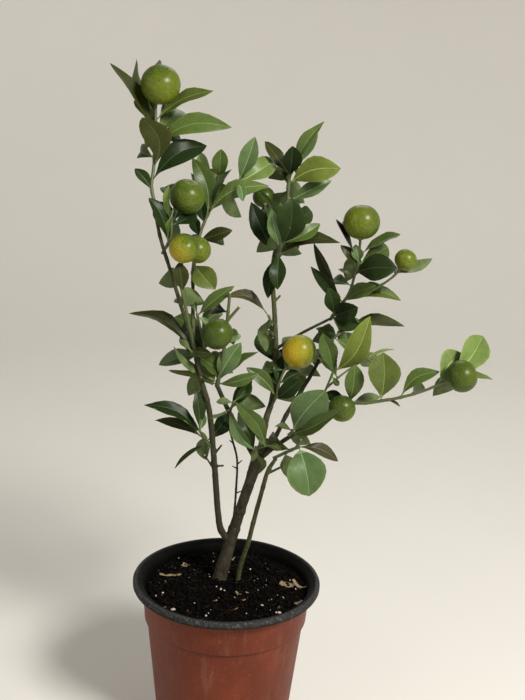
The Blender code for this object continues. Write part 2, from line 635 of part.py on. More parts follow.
def make_limbs(finish, dead, home):
    """The trunk, stems and boughs, each starting just clear of those before it."""
    trees = {}
    for name, ways in LIMBS.items():
        samples = limb_samples(ways, LIMB_STEP)
        for carrier in LIMB_CARRIERS.get(name, ()):
            samples = trim_foot(samples, trees[carrier])
        mesh = tube_mesh(samples, LIMB_SIDES.get(name, 1))
        if name in FLAT_FOOT:
            cut_flat(mesh, (SOIL_TOP + GAP) * MM)
        if touches(mesh, trees.values()):
            raise ValueError(f"{name} touches another limb")
        trees[name] = tree_of(mesh)
        link(mesh, name, dead if name == "dead_twig" else finish, home)
    return trees


def make_masses(finish, home, limbs):
    """The masses of foliage: all twigs and fruit first, then leaves that keep clear of everything else."""
    grown = {}
    for name, (carrier, _, shoots) in MASSES.items():
        ways, pieces = grow_twigs(shoots, limbs[carrier])
        others = [tree for limb, tree in limbs.items() if limb != carrier]
        others += [tree for _, _, kept in grown.values() for tree in kept]
        if any(touches(piece, others) for piece in pieces):
            raise ValueError(f"a twig or fruit of {name} touches its neighbour")
        grown[name] = (ways, pieces, [tree_of(piece) for piece in pieces])
    solids = {}
    for number, (name, (_, space, shoots)) in enumerate(MASSES.items()):
        ways, pieces, _ = grown[name]
        trees = [*limbs.values(), *solids.values()]
        trees += [tree for other, (_, _, kept) in grown.items() if other not in (name, *solids) for tree in kept]
        pieces += grow_leaves(number, shoots, ways, space, trees)
        solid = join_mass(name, pieces, finish, home)
        solids[name] = tree_of(solid.data)


def main():
    clear_scene()
    home = collection("calamondin_orange_tree")
    tools = collection("cutters")
    terracotta = material("terracotta_plastic", (0.20, 0.055, 0.035), 0.55)
    earth = material("potting_soil", (0.012, 0.009, 0.007), 0.95)
    bark = material("bark", (0.085, 0.066, 0.040), 0.85)
    dry_wood = material("dry_wood", (0.035, 0.024, 0.018), 0.9)
    foliage = material("foliage", (0.045, 0.085, 0.025), 0.45)
    make_pot(terracotta, home, tools)
    make_soil(earth, home)
    limbs = make_limbs(bark, dry_wood, home)
    make_masses(foliage, home, limbs)


main()
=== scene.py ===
"""Calamondin orange tree in its nursery pot: the finish of every surface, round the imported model.

Sizes are in millimetres unless they say otherwise, +Z is up and -Y faces the front.
"""

import math
import random
from typing import NamedTuple

import bmesh
import bpy
from bpy.props import FloatProperty, FloatVectorProperty, IntProperty, PointerProperty
from mathutils import Matrix, Vector, kdtree, noise


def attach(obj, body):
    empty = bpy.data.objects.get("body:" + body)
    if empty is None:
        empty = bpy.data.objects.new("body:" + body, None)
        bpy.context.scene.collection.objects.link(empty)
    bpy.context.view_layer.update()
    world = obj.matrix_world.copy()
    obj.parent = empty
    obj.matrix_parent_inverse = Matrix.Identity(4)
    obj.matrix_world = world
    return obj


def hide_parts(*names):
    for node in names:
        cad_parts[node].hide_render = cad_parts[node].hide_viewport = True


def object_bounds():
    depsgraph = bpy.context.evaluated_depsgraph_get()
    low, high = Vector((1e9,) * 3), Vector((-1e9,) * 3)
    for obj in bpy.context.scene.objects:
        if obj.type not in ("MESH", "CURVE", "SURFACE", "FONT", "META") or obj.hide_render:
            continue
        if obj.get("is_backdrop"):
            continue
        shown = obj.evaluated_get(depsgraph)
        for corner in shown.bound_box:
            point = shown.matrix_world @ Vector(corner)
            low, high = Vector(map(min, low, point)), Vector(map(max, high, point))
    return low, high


bl_info = {
    "name": "Potted calamondin tree",
    "version": (1, 0, 0),
    "blender": (4, 5, 0),
    "location": "3D View > Sidebar > Tree",
    "description": "Models a potted calamondin orange tree round its packed frame",
    "category": "Object",
}

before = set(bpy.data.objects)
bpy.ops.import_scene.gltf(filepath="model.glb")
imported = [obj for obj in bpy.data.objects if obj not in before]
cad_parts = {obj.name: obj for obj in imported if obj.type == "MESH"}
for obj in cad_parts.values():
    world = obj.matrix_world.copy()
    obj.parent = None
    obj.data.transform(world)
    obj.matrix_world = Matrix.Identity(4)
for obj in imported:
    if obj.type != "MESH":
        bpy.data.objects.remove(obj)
CAD_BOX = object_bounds()
BODY = "root"

MM = 0.001

# The camera looks down and leans to one side, in degrees, from a place in metres
VIEW_PITCH = 14.22
VIEW_ROLL = 2.45
VIEW_PLACE = (0.021, -0.734, 0.505)
VIEW_LENS = 51.43  # on a sensor 36 mm along the picture's longer side

# Pot
RIM_RADIUS = 75.0
RIM_TOP = 130.0
RIM_DEPTH = 5.6
COLLAR_TOP_RADIUS = 67.0
COLLAR_FOOT_RADIUS = 65.2
COLLAR_FOOT = 98.0
BODY_TOP_RADIUS = 63.0
BODY_FOOT_RADIUS = 53.0
BASE_RADIUS = 51.0
POT_WALL = 1.6
DRAIN_HOLES = 6
DRAIN_HOLE_RADIUS = 4.5
DRAIN_RING_RADIUS = 37.0
SOIL_TOP = 122.0

# Limbs: way points from foot to tip with the radius at each, as x, y, z, radius
LIMBS = {
    "trunk": [(-7, 10, 118, 6.6), (-4, 10, 132, 5.4), (2, 9, 158, 4.8), (11, 8, 193, 4.1),
              (16, 7, 211, 4.3), (20, 6, 228, 4.6), (23, 5, 237, 4.4)],
    "left_stem": [(2, 9, 156, 2.9), (-6, 7, 167, 2.7), (-9, 3, 186, 2.5), (-12, -5, 223, 2.4),
                  (-16, -14, 266, 2.2), (-19, -17, 283, 2.1), (-24, -20, 301, 2.1), (-31, -24, 334, 2.0)],
    "right_stem": [(8, 12, 117, 2.2), (11, 10, 137, 2.0), (16, 4, 158, 1.9), (20, 0, 180, 1.9),
                   (25, -4, 205, 1.8), (29, -7, 224, 1.7), (35, -9, 236, 1.5)],
    "dead_twig": [(2, 6, 166, 1.0), (4, 0, 183, 0.9), (5, -3, 206, 0.9), (5, -6, 232, 0.8),
                  (1, -9, 249, 0.8), (-2, -11, 260, 0.7)],
    "left_bough": [(18, 4, 232, 2.2), (10, 2, 246, 2.1), (-3, -4, 271, 1.9), (-12, -9, 292, 1.7)],
    "middle_bough": [(23, 6, 236, 2.7), (26, 8, 261, 2.5), (30, 9, 277, 2.3), (32, 12, 305, 2.1),
                     (29, 11, 345, 1.9), (26, 9, 378, 1.8), (29, 11, 402, 1.6), (35, 14, 430, 1.4)],
    "right_high_bough": [(25, 8, 234, 1.9), (34, 9, 247, 1.8), (43, 12, 267, 1.7), (61, 22, 297, 1.5),
                         (68, 28, 312, 1.4)],
    "right_low_bough": [(24, 2, 232, 1.9), (34, -2, 243, 1.8), (52, -8, 259, 1.6), (74, -18, 279, 1.4),
                        (85, -24, 288, 1.3)],
    "cross_bough": [(31, 12, 317, 1.3), (50, 21, 328, 1.2), (73, 30, 339, 1.1)],
    "outer_left_stem": [(-31, -24, 333, 1.6), (-38, -27, 353, 1.5), (-47, -30, 382, 1.4),
                        (-55, -30, 407, 1.3), (-60, -27, 431, 1.2)],
    "inner_left_stem": [(-30, -23, 332, 1.6), (-31, -18, 347, 1.5), (-32, -10, 362, 1.4),
                        (-33, -4, 377, 1.3)],
}
DEAD_LIMB = "dead_twig"
# Painted shade: the bark of limbs that lie in the crown's shadow is darkened by these shares
PAINTED_SHADE_LIMBS = {"cross_bough": 0.9, "right_high_bough": 0.75, "right_low_bough": 0.5, "outer_left_stem": 0.4,
               "left_stem": 0.55, "left_bough": 0.5, "right_stem": 0.1}  # how much darker a limb's bark is

# Leaves by rule turn from this far back to this far towards the viewer, in degrees
SEEDED_BACK, SEEDED_FRONT = -70, -35


class Shoot(NamedTuple):
    """A green shoot of a mass, in millimetres."""

    path: list  # way points from foot to tip
    radii: tuple  # at foot and tip
    leaves: list  # the leaves that show
    fruit: float = 0  # diameter of the fruit at its tip
    seeded: int = 0  # how many leaves grow by rule
    back: float = SEEDED_BACK
    front: float = SEEDED_FRONT
    cut: bool = False  # pruned, so it ends in bare wood


# The shoots of each mass of foliage, stem first. A leaf that shows is: share of the shoot, clock angle from
# upright as seen from the front, reach across the view, turn towards the viewer, spin about its own axis,
# width as a share of length, tone, and for some leaves how far they bow to their clockwise side
MASSES = {
    "top_left_spray": [
        Shoot([(-60, -27, 432), (-62, -25, 441), (-61, -20, 455), (-61, -14, 480), (-61, -12, 497),
               (-58, -12, 510)], (1.3, 0.9), [
            (.30, -12, 33, 20, 0, .56, "O", .24), (.50, -27, 63, 8, -60, .23, "O", .04),
            (.75, -20, 55, -38, 62, .21, "Y"), (.62, -12, 32, -35, 0, .46, "G"),
            (.60, 34, 28, -35, 0, .60, "M"), (.70, 66, 45, 15, 35, .27, "Y", -.06),
            (.49, 77, 56, 0, 10, .27, "M", -.12), (.18, 53, 48, -10, 10, .36, "K", -.08),
            (.10, -38, 19, 10, -20, .42, "D")], fruit=28, seeded=4)],
    "upper_left_spray": [
        Shoot([(-52, -30, 396), (-47, -33, 406), (-47, -30, 422), (-44, -24, 427), (-37, -20, 434)],
              (1.1, 0.8), [
            (.18, -22, 34, 15, -30, .40, "D", .08), (.50, -5, 25, 20, 45, .26, "L"),
            (.20, 12, 18, 25, 45, .32, "L"), (.45, 30, 34, -30, 0, .40, "K"),
            (.22, -16, 33, -20, 0, .42, "K")], fruit=25.5, seeded=3)],
    "left_fruit_spray": [
        Shoot([(-29, -24, 324), (-32, -33, 342), (-36, -37, 362), (-39, -38, 376), (-38, -38, 390),
               (-37, -40, 400)], (1.2, 0.8), [
            (.60, -5, 21, 20, 0, .50, "O")], fruit=21, seeded=3)],
    "mid_top_spray": [
        Shoot([(-33, -4, 378), (-30, 6, 400), (-26, 10, 413), (-21, 14, 425), (-13, 18, 445)], (1.3, 0.8), [
            (.10, 140, 25, 30, 0, .60, "Y"), (.38, -15, 15, 15, 0, .55, "K"),
            (.33, 73, 27, 10, 20, .38, "O"), (.60, -14, 43, 10, -10, .33, "M", .10),
            (.66, -27, 33, -15, -50, .30, "N"), (.80, -21, 40, -20, 25, .30, "L"),
            (.90, 1, 30, -10, 10, .40, "M"), (.65, 30, 33, 25, 40, .28, "G"),
            (.60, 68, 50, 22, 15, .25, "L", -.12), (.52, -8, 19, 30, 0, .45, "D")], seeded=4),
        Shoot([(-33, -3, 382), (-29, -18, 396)], (0.9, 0.8), [], fruit=20),
        Shoot([(-21, 13, 424), (-11, 6, 433), (-1, 2, 445)], (0.9, 0.8), [
            (.95, 22, 33, 20, 5, .38, "G"), (.90, 54, 36, -20, 0, .44, "L")], seeded=1)],
    "centre_spray": [
        Shoot([(28, 10, 389), (31, 0, 397), (31, -6, 410), (32, -8, 420)], (1.2, 0.8), [
            (.15, -27, 43, 10, 0, .34, "K"), (.45, 12, 32, 35, 10, .55, "D", .12),
            (.50, 62, 33, -5, 20, .34, "M", .10), (.40, -14, 27, 35, 0, .30, "G"),
            (.25, 66, 34, 15, 15, .32, "O", -.06), (.15, 77, 47, 10, 35, .26, "O", -.08),
            (.25, 182, 28, 20, 0, .42, "D"), (.15, -168, 33, 10, 0, .34, "K"),
            (.80, -28, 34, -20, -75, .30, "D")], seeded=2),
        Shoot([(31, -2, 402), (21, 8, 414), (17, 31, 431)], (0.9, 0.8), [], fruit=17)],
    "centre_top_spray": [
        Shoot([(35, 14, 430), (35, 15, 442), (36, 16, 452), (38, 17, 457)], (1.3, 0.9), [
            (.75, -36, 31, 0, -15, .36, "O"), (.70, 5, 20, 35, 0, .60, "K"),
            (.80, 28, 42, -15, 10, .32, "G"), (.80, 33, 44, 10, 40, .26, "L"),
            (.50, 77, 38, 25, -10, .46, "B", -.12), (.08, 64, 36, 5, 10, .32, "G")], seeded=4)],
    "right_top_spray": [
        Shoot([(74, 30, 340), (78, 28, 348), (83, 26, 355), (87, 24, 365), (89, 22, 376),
               (91, 20, 386), (91, 17, 399), (91, 15, 417)], (1.2, 0.8), [
            (.60, -27, 38, 15, -75, .32, "D"), (.55, -35, 22, 25, -20, .36, "O"),
            (.62, -10, 13, 30, 0, .60, "G"), (.70, 63, 34, 10, 60, .40, "M"),
            (.60, 58, 30, -20, 0, .50, "M"), (.52, 86, 27, 40, 0, .60, "D"),
            (.47, -62, 14, 10, -40, .35, "N"), (.20, -26, 52, 5, 62, .24, "O", .06),
            (.16, -37, 38, 20, 20, .26, "D", .08), (.06, -15, 21, 35, 0, .52, "D"),
            (.05, 72, 19, 45, 0, .62, "D"), (.22, 62, 26, 25, 20, .42, "M"),
            (.25, 88, 45, -10, 40, .28, "Y", -.06),
            (.03, 108, 21, 35, 0, .56, "D")], fruit=27.5, seeded=4),
        Shoot([(84, 26, 357), (95, 20, 360), (105, 16, 367), (114, 14, 374), (120, 14, 380),
               (126, 15, 390)], (1.0, 0.8), [
            (.78, 67, 32, -20, 30, .34, "P", -.06)], fruit=17, seeded=2)],
    "big_leaf_spray": [
        Shoot([(44, -4, 254), (44, -13, 257), (46, -24, 264)], (1.1, 0.9), [
            (.90, 37, 40, 30, 0, .56, "G", -.05), (.60, 59, 45, 42, 34, .21, "M", .10)], seeded=1)],
    "right_tip_spray": [
        Shoot([(86, -25, 288), (98, -28, 289), (110, -30, 292), (123, -33, 296), (140, -36, 303),
               (154, -38, 311), (165, -40, 316)], (1.3, 0.9), [
            (.04, 6, 29, 20, 0, .48, "M"), (.03, -65, 18, -10, 0, .50, "K"),
            (.06, 80, 23, -20, 0, .36, "P"), (.30, 1, 36, 20, 0, .62, "Y"),
            (.36, 118, 11, -10, 50, .30, "N"), (.47, 56, 34, 5, 20, .34, "M", -.15),
            (.80, 42, 30, -25, 0, .58, "L", -.10), (.90, 42, 43, -30, 0, .42, "L"),
            (.92, 92, 31, -15, 60, .26, "Y")], fruit=23.5, seeded=2),
        Shoot([(88, -26, 288), (81, -34, 286)], (0.8, 0.8), [], fruit=20)],
    "right_mid_spray": [
        Shoot([(61, -12, 266), (65, -9, 276), (68, -8, 286), (71, -8, 295), (75, -9, 307)], (1.1, 0.8), [
            (.97, -15, 31, 15, 0, .42, "M", .04), (.99, 31, 47, 25, 10, .36, "B", .13)], seeded=1),
        Shoot([(71, -8, 294), (83, 0, 303), (102, 6, 316)], (0.9, 0.7), [
            (.95, 72, 23, -5, 65, .30, "L")], seeded=2)],
    "right_back_spray": [
        Shoot([(68, 28, 313), (75, 34, 321), (86, 38, 329)], (1.2, 0.8), [
            (.90, 84, 51, -10, 45, .26, "O", -.12), (.80, 35, 14, 20, 0, .50, "D"),
            (.70, -72, 16, 12, 0, .70, "D")], seeded=6)],
    "low_right_spray": [
        Shoot([(35, -9, 237), (44, -12, 243), (53, -15, 249)], (1.3, 1.2), [
            (.90, 110, 34, -15, 30, .30, "N", -.10),
            (.93, 168, 37, 15, 0, .78, "G")], seeded=2, cut=True)],
    "fork_spray": [
        Shoot([(17, 4, 232), (18, -5, 238), (19, -10, 245)], (1.1, 0.8), [
            (.80, -34, 34, 25, 10, .27, "G", -.05), (.60, -22, 34, -5, 0, .34, "D")], seeded=1),
        Shoot([(18, -7, 241), (27, -12, 247)], (0.8, 0.8), [
            (.90, -33, 41, 25, 10, .29, "M", .12)])],
    "fork_left_spray": [
        Shoot([(-2, -3, 269), (-1, -8, 274), (1, -13, 281)], (1.0, 0.8), [
            (.40, 35, 29, 10, 0, .35, "D"), (.90, 45, 20, -15, 0, .42, "D"),
            (.50, -110, 20, 20, -70, .30, "P")], seeded=1)],
    "left_stem_spray": [
        Shoot([(-14, -9, 243), (-19, -14, 249), (-24, -22, 261)], (1.1, 0.8), [
            (.80, -62, 48, 10, -35, .24, "D", .10), (.55, -70, 41, -10, -40, .22, "O", .05),
            (.88, -4, 33, 10, -30, .26, "D"), (.95, 5, 33, -8, 0, .32, "D"),
            (.35, -126, 31, 15, -65, .24, "D")], seeded=3)],
    "left_shoulder_spray": [
        Shoot([(-27, -21, 315), (-31, -28, 323)], (1.0, 0.8), [
            (.85, -57, 54, 5, -45, .24, "O", .13)], seeded=2)],
    "centre_low_spray": [
        Shoot([(29, 8, 271), (33, -1, 283), (35, -4, 296), (40, -3, 308), (49, 0, 319)], (1.1, 0.8), [
            (.45, 8, 24, -15, 0, .36, "D"), (.47, -30, 14, -30, 0, .50, "D"),
            (.30, -45, 32, 15, -20, .34, "M", .06), (.68, 20, 24, -35, 0, .45, "G"),
            (.50, 60, 18, -10, 0, .50, "D"), (.25, 50, 24, 30, 0, .46, "D")], fruit=26, seeded=2)],
    "arching_leaf_spray": [
        Shoot([(30, 11, 336), (27, 5, 340), (24, 3, 346)], (0.9, 0.8), [
            (.90, -66, 38, 10, -40, .26, "N", .18)], seeded=1, cut=True)],
    "back_left_spray": [
        Shoot([(-24, -20, 302), (-25, -2, 309), (-23, 18, 324)], (1.2, 0.8), [],
              seeded=8, back=-60, front=10)],
    "lower_left_spray": [
        Shoot([(-12, -9, 293), (-11, -12, 299), (-7, -22, 327), (-4, -30, 368)], (1.5, 1.1), [
            (.06, -52, 42, 42, -50, .19, "P", .05), (.03, -72, 36, 42, -58, .19, "O"),
            (.07, 31, 34, 20, 0, .42, "G"), (.08, 54, 38, -5, 45, .28, "M"),
            (.10, 10, 22, -25, 0, .45, "D"), (.04, 77, 32, 15, -20, .28, "M")], seeded=4, cut=True),
        Shoot([(-11, -12, 298), (-20, -14, 315), (-25, -18, 337), (-28, -21, 350)], (1.0, 0.8), [
            (.96, 51, 34, 15, 10, .28, "M"), (.45, -40, 21, -20, 0, .65, "D")], seeded=2),
        Shoot([(-24, -17, 334), (-21, -24, 342), (-12, -30, 337)], (0.8, 0.8), [], fruit=23)],
    "back_low_spray": [
        Shoot([(32, 12, 300), (38, 26, 300), (46, 42, 310)], (1.3, 0.8), [],
              seeded=8, back=-65, front=-10)],
    "back_top_spray": [
        Shoot([(33, 13, 412), (36, 30, 410), (38, 46, 416)], (1.3, 0.8), [],
              seeded=7, back=-65, front=-15)],
}

# How each fruit looks, by its mass and shoot: the clock angle of its blossom end, how far that lies from
# the middle of the fruit towards its outline, how ripe it is, by how much that changes, and the clock
# angle of its ripest side
FRUIT_LOOKS = {
    ("top_left_spray", 0): (11, .53, .27, .14, 160),
    ("upper_left_spray", 0): (20, .80, .20, .07, 90),
    ("left_fruit_spray", 0): (13, .46, .40, .32, 225),
    ("mid_top_spray", 1): (40, .90, .34, .06, 200),
    ("centre_spray", 1): (0, .90, .12, .05, 90),
    ("right_top_spray", 0): (0, .97, .30, .12, 270),
    ("right_top_spray", 1): (33, .99, .36, .08, 200),
    ("lower_left_spray", 2): (135, .99, .10, .06, 90),
    ("right_tip_spray", 0): (70, .99, .16, .06, 90),
    # Painted shade: this fruit's ripeness is set low so its peel stays dark, as in the shadow of the leaf
    # above it
    ("right_tip_spray", 1): (200, .80, .14, .16, 180),
    ("centre_low_spray", 0): (150, .80, .56, .29, 258),
}

# Leaf tones: the colour of the upper side, and how rough it is. Partly the leaves' own colour, partly painted
# light and shade: the darkest tones stand for leaves in shadow, the lightest for lit leaves, the grey-green
# partly for a painted sheen
LEAF_TONES = {
    "K": ("very_dark", (.008, .017, .003), .46),
    "D": ("dark", (.014, .027, .005), .44),
    "O": ("dark_olive", (.026, .031, .006), .46),
    "N": ("brown_green", (.044, .042, .014), .50),
    "Y": ("olive", (.082, .110, .018), .46),
    "M": ("mid_green", (.053, .084, .015), .42),
    "G": ("grey_green", (.082, .134, .044), .38),
    "L": ("light_green", (.115, .170, .038), .44),
    "B": ("bright_green", (.130, .172, .023), .46),
}
LEAF_SHEEN = 2.4  # how much glossier a paler leaf is
UNDERSIDE = "P"  # a leaf that turns its underside to the viewer
UNDERSIDE_TONE = "M"
SEEDED_TONES = "KDDOMGMD"
YOUNG_TONES = "MMGO"

# Tints and colours of the finishes
LEAF_MOTTLE, LEAF_VEIN, LEAF_EDGE = (0.62, 0.66, 0.60), (1.5, 1.5, 1.5), (1.9, 1.7, 1.4)
LEAF_DUST = (0.22, 0.25, 0.14)
RIB_PALER, RIB_LIGHT = 1.6, (0.40, 0.40, 0.32)
TWIG_BROWN = (0.075, 0.060, 0.030)
LICHEN = (0.22, 0.20, 0.15)
CUT_WOOD = (0.46, 0.37, 0.21), (0.66, 0.56, 0.36)
CALYX = (0.10, 0.11, 0.035), (0.22, 0.20, 0.08)
PEEL_TONES = [(0.20, (0.060, 0.092, 0.009)), (0.40, (0.122, 0.152, 0.012)),
              (0.60, (0.245, 0.218, 0.016)), (0.80, (0.380, 0.270, 0.012))]
# The second tint lightens the pores: partly the oil glands' own colour, partly painted glints
PEEL_BLOTCH, PEEL_SPECK_GLINT = (0.52, 0.55, 0.45), (0.13, 0.15, 0.04)
PEEL_PORE = 1.35
PEEL_SIDES, PEEL_RINGS = 48, 28
POT_SPECK = (0.42, 0.34, 0.28)
RIM_SCUFF = (0.17, 0.165, 0.16)
EARTH = (0.012, 0.008, 0.006)
PEAT_FIBRE = (0.022, 0.014, 0.009)

# Green shoots grow from this far inside the limb that carries them
ROOTED = 2.5
TWIG_STEP = 2.5
TWIG_SIDES, THORN_SIDES, FIBRE_SIDES = 8, 6, 4
FINE_STEP = 1.2
NODE_SWELL, NODE_REACH = 0.22, 1.3  # a twig swells by this share, this far about a leaf's foot
BUD_SIZE = (0.45, 0.7)
THORNY = 0.14  # share of the leaves that have a thorn beside them
THORN_RADII = (0.45, 0.28, 0.06)

# Limbs: sides and steps of their tubes, and the small swellings along them
LIMB_SIDES, LIMB_STEP = 20, 2.5
STUB_SIDES, STUB_STEP, STUB_FLARE = 12, 1.5, 1.25
KNOT_SPACING, KNOT_RISE, KNOT_SHARPNESS = 17, 0.14, 24
WAVE_LENGTH, WAVE_RISE = 6, 0.05
SKIN_SMOOTHING, SKIN_PASSES = 0.5, 4
BARK_DRAW = 4.5  # how far the bark's pattern is drawn out along a limb
FULL_BARK = 4.0  # a limb of this radius has the bark's whole relief
CUT_RING = 10  # faces round a pruned end

# Leaves: rings along a blade, its thin stalk, and how its halves bulge
LEAF_STATIONS = (0.0, 0.08, 0.15, 0.25, 0.37, 0.50, 0.63, 0.75, 0.86, 0.94, 1.0)
RING = 7
STALK_SHARE = 0.09
ROUND = 0.7  # a plumper leaf is round, and no broader near its tip
STALK_HALF_WIDTH = 0.5
RIB_HALF_WIDTH = (0.40, 0.13)  # at the stalk and at the tip
BLADE_BULGE = 0.10
VEIN_SPACING = 3.2
LEAF_CREASE = 75  # degrees
VEIN_RISE = 0.9  # how far a side vein runs forward for each millimetre outwards
GOLDEN_ANGLE = 137.5
SEEDED_START = 0.25
SEEDED_SPAN = 0.7
SEEDED_LENGTH = (27, 37)
SEEDED_WIDTH = (0.36, 0.46)
SEEDED_SPIN = 35
LOOKS_SEED = 1000
YOUNG_LEAVES = 2
YOUNG_LENGTH, YOUNG_TURN = (9, 15), 40
CURL_START, UNTWISTED = 0.45, 0.35  # shares of a blade's length
INNER_ROW = 0.55  # where a row of points runs between midrib and edge, as a share of the half width

# Pixels of the photograph, which is 525 wide and 700 tall
PICTURE_WIDTH, PICTURE_HEIGHT = 525, 700
VIEW_PIXELS = 1000.0  # the camera's distance to the picture, in pixels

# Loose things that show on the soil: column and row in the photograph, then sizes in millimetres. A chip
# also has its turn in degrees and how far its ends curl up
SOIL_PEBBLES = [(173, 609, 2.3), (279, 612, 2.0), (221, 590, 1.8), (262, 606, 1.4), (196, 600, 1.2)]
SOIL_CHIPS = [(170, 574, 17, 5.5, 8, 1.2), (287, 585, 12, 7.0, -20, 0.8), (299, 587, 15, 3.0, -50, 3.4),
              (299, 602, 8, 4.5, 30, 0.6), (185, 566, 6, 2.0, -15, 0.5), (244, 600, 6, 1.6, 40, 0.8)]

# Pruned stubs on the wood: foot, tip and radius in millimetres
STUBS = [((-13, -8, 236), (-7, -9, 245), 0.8), ((-12.2, -5.5, 226), (-5, -6, 227), 0.8),
         ((-12, -5, 222), (-20, -9, 236), 0.7), ((28.7, -6.8, 222), (41, -9, 230), 0.9),
         ((29, 10, 355), (33, 9, 360), 0.8), ((31, 12, 325), (25, 9, 333), 0.8)]
GREEN_STUBS = [((-5.6, -25.7, 346), (3, -26, 357), 1.0), ((50, -14, 247), (53, -15, 254), 1.1)]
DEAD_STUBS = [(0.62, -60), (0.66, 50), (0.40, 70), (0.85, -50)]  # share of the dead twig, clock angle

# The soil: its gap to the pot, how it heaves, and its mound round the trunk
SOIL_GAP = 0.4
SOIL_SIDES, SOIL_CUTS, SOIL_CREASE = 64, 5, 60
SOIL_WAVES = [(1.5, 30, 3), (1.0, 11, 5), (0.75, 4.5, 7), (0.35, 2.0, 9)]  # height, width and seed
TRUNK_FOOT = (-7, 10, 0)
TRUNK_MOUND, MOUND_WIDTH = 2.2, 14

LITTER_SEED, TWIG_SEED = 11, 5
RANDOM_CHIPS, RANDOM_FIBRES = 14, 80
CHIP_THICKNESS = 0.5
CRUMB_MARGIN, CHIP_MARGIN = 3, 4  # how far loose bits stay off the pot's inner side
POT_CREASE = 38
POT_WARP = 0.012  # how far the mouth is out of round, as a share of its radius

# The floor and its upswept edge, as radius and height
SWEEP = [(1300, 0), (1500, 20), (1680, 80), (1840, 180), (1970, 320), (2060, 500), (2100, 700),
         (2120, 1100), (2120, 1900)]
FLOOR_SIDES = 96

# Soft square lamps: place and size in metres, power in watts, colour
LAMPS = {
    "key_light": ((0.88, -0.93, 1.32), 0.45, 39, (1.0, 0.98, 0.93)),
    "fill_light": ((-1.2, -1.0, 1.2), 0.9, 3.5, (1.0, 0.98, 0.95)),
    "back_light": ((0.2, 1.5, 1.6), 0.9, 8, (1.0, 0.98, 0.95)),
}
LIT_PLACE = (0.0, 0.0, 0.3)
SKY_COLOR, SKY_STRENGTH = (0.86, 0.83, 0.78, 1), 0.15


def smooth_path(ways, step):
    """Samples of a smooth curve through the way points, about `step` apart."""
    ends = [2 * ways[0] - ways[1], *ways, 2 * ways[-1] - ways[-2]]
    samples = []
    for i in range(1, len(ends) - 2):
        a, b, c, d = ends[i - 1:i + 3]
        pieces = max(1, round((c.xyz - b.xyz).length / step))
        for k in range(pieces):
            t = k / pieces
            samples.append(0.5 * (2 * b + (c - a) * t + (2 * a - 5 * b + 4 * c - d) * t ** 2
                                  + (3 * b - a - 3 * c + d) * t ** 3))
    samples.append(ways[-1].copy())
    return samples


def sampled(ways, step):
    """Samples of x, y, z and radius in metres, from way points in millimetres."""
    return smooth_path([Vector(way) * MM for way in ways], step * MM)


def view_axes():
    """Right, up and towards the viewer, as unit vectors of the front view."""
    pitch, roll = math.radians(VIEW_PITCH), math.radians(VIEW_ROLL)
    level_up = Vector((0, math.sin(pitch), math.cos(pitch)))
    right = Vector((1, 0, 0)) * math.cos(roll) + level_up * math.sin(roll)
    up = level_up * math.cos(roll) - Vector((1, 0, 0)) * math.sin(roll)
    return right, up, Vector((0, -math.cos(pitch), math.sin(pitch)))


RIGHT, UP, TOWARDS = view_axes()


def across_view(clock):
    """The direction at a clock angle from upright, as seen from the front."""
    turn = math.radians(clock)
    return RIGHT * math.sin(turn) + UP * math.cos(turn)


def walk(samples):
    """Each sample of a way, with how far along the way it lies."""
    run, last = 0.0, samples[0].xyz
    for sample in samples:
        run += (sample.xyz - last).length
        last = sample.xyz
        yield run, sample


def place_on(samples, share):
    """The place at a share of a sampled way."""
    lengths = [(b.xyz - a.xyz).length for a, b in zip(samples, samples[1:])]
    left = share * sum(lengths)
    for a, b, length in zip(samples, samples[1:], lengths):
        if left <= length:
            return a.xyz.lerp(b.xyz, left / length)
        left -= length
    return samples[-1].xyz


class Gathering:
    """Many small shapes held as arrays, which become one joined mesh."""

    def __init__(self):
        self.points = []
        self.faces = []
        self.kinds = []
        self.values = []

    def add(self, points, faces, kinds=0, values=(0.0, 0.0, 0.0)):
        """Adds a shape, with a finish number for each face and three values for each point."""
        start = len(self.points)
        self.points += points
        self.faces += [[start + i for i in face] for face in faces]
        self.kinds += kinds if isinstance(kinds, list) else [kinds] * len(faces)
        self.values += values if isinstance(values, list) else [values] * len(points)

    def build(self, name, finishes, slot, value_name=None, crease=180):
        """The joined mesh, smooth up to an angle in degrees, with each point's values if they have a name."""
        mesh = bpy.data.meshes.new(name)
        mesh.from_pydata(self.points, [], self.faces)
        for finish in finishes:
            mesh.materials.append(finish)
        mesh.polygons.foreach_set("material_index", self.kinds)
        mesh.shade_smooth()
        if crease < 180:
            mesh.set_sharp_from_angle(angle=math.radians(crease))
        if value_name:
            numbers = [number for triple in self.values for number in triple]
            mesh.attributes.new(value_name, "FLOAT_VECTOR", "POINT").data.foreach_set("vector", numbers)
        piece = bpy.data.objects.new(name, mesh)
        bpy.context.scene.collection.objects.link(piece)
        return dress(piece)


def dress(piece):
    """Makes a piece ride on the plant."""
    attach(piece, BODY)
    return piece


def tube(samples, sides):
    """Points and faces of a closed tube along samples of x, y, z and radius."""
    points, faces = [], []
    ahead = (samples[1].xyz - samples[0].xyz).normalized()
    across = ahead.orthogonal().normalized()
    for i, sample in enumerate(samples):
        near, far = samples[max(0, i - 1)].xyz, samples[min(len(samples) - 1, i + 1)].xyz
        turned = (far - near).normalized()
        across = (across - turned * across.dot(turned)).normalized()
        over = turned.cross(across)
        for k in range(sides):
            turn = 2 * math.pi * k / sides
            points.append(sample.xyz + (across * math.cos(turn) + over * math.sin(turn)) * sample.w)
    for i in range(len(samples) - 1):
        for k in range(sides):
            a, b = i * sides + k, i * sides + (k + 1) % sides
            faces.append([a, b, b + sides, a + sides])
    faces.append([*reversed(range(sides))])
    faces.append([(len(samples) - 1) * sides + k for k in range(sides)])
    return points, faces


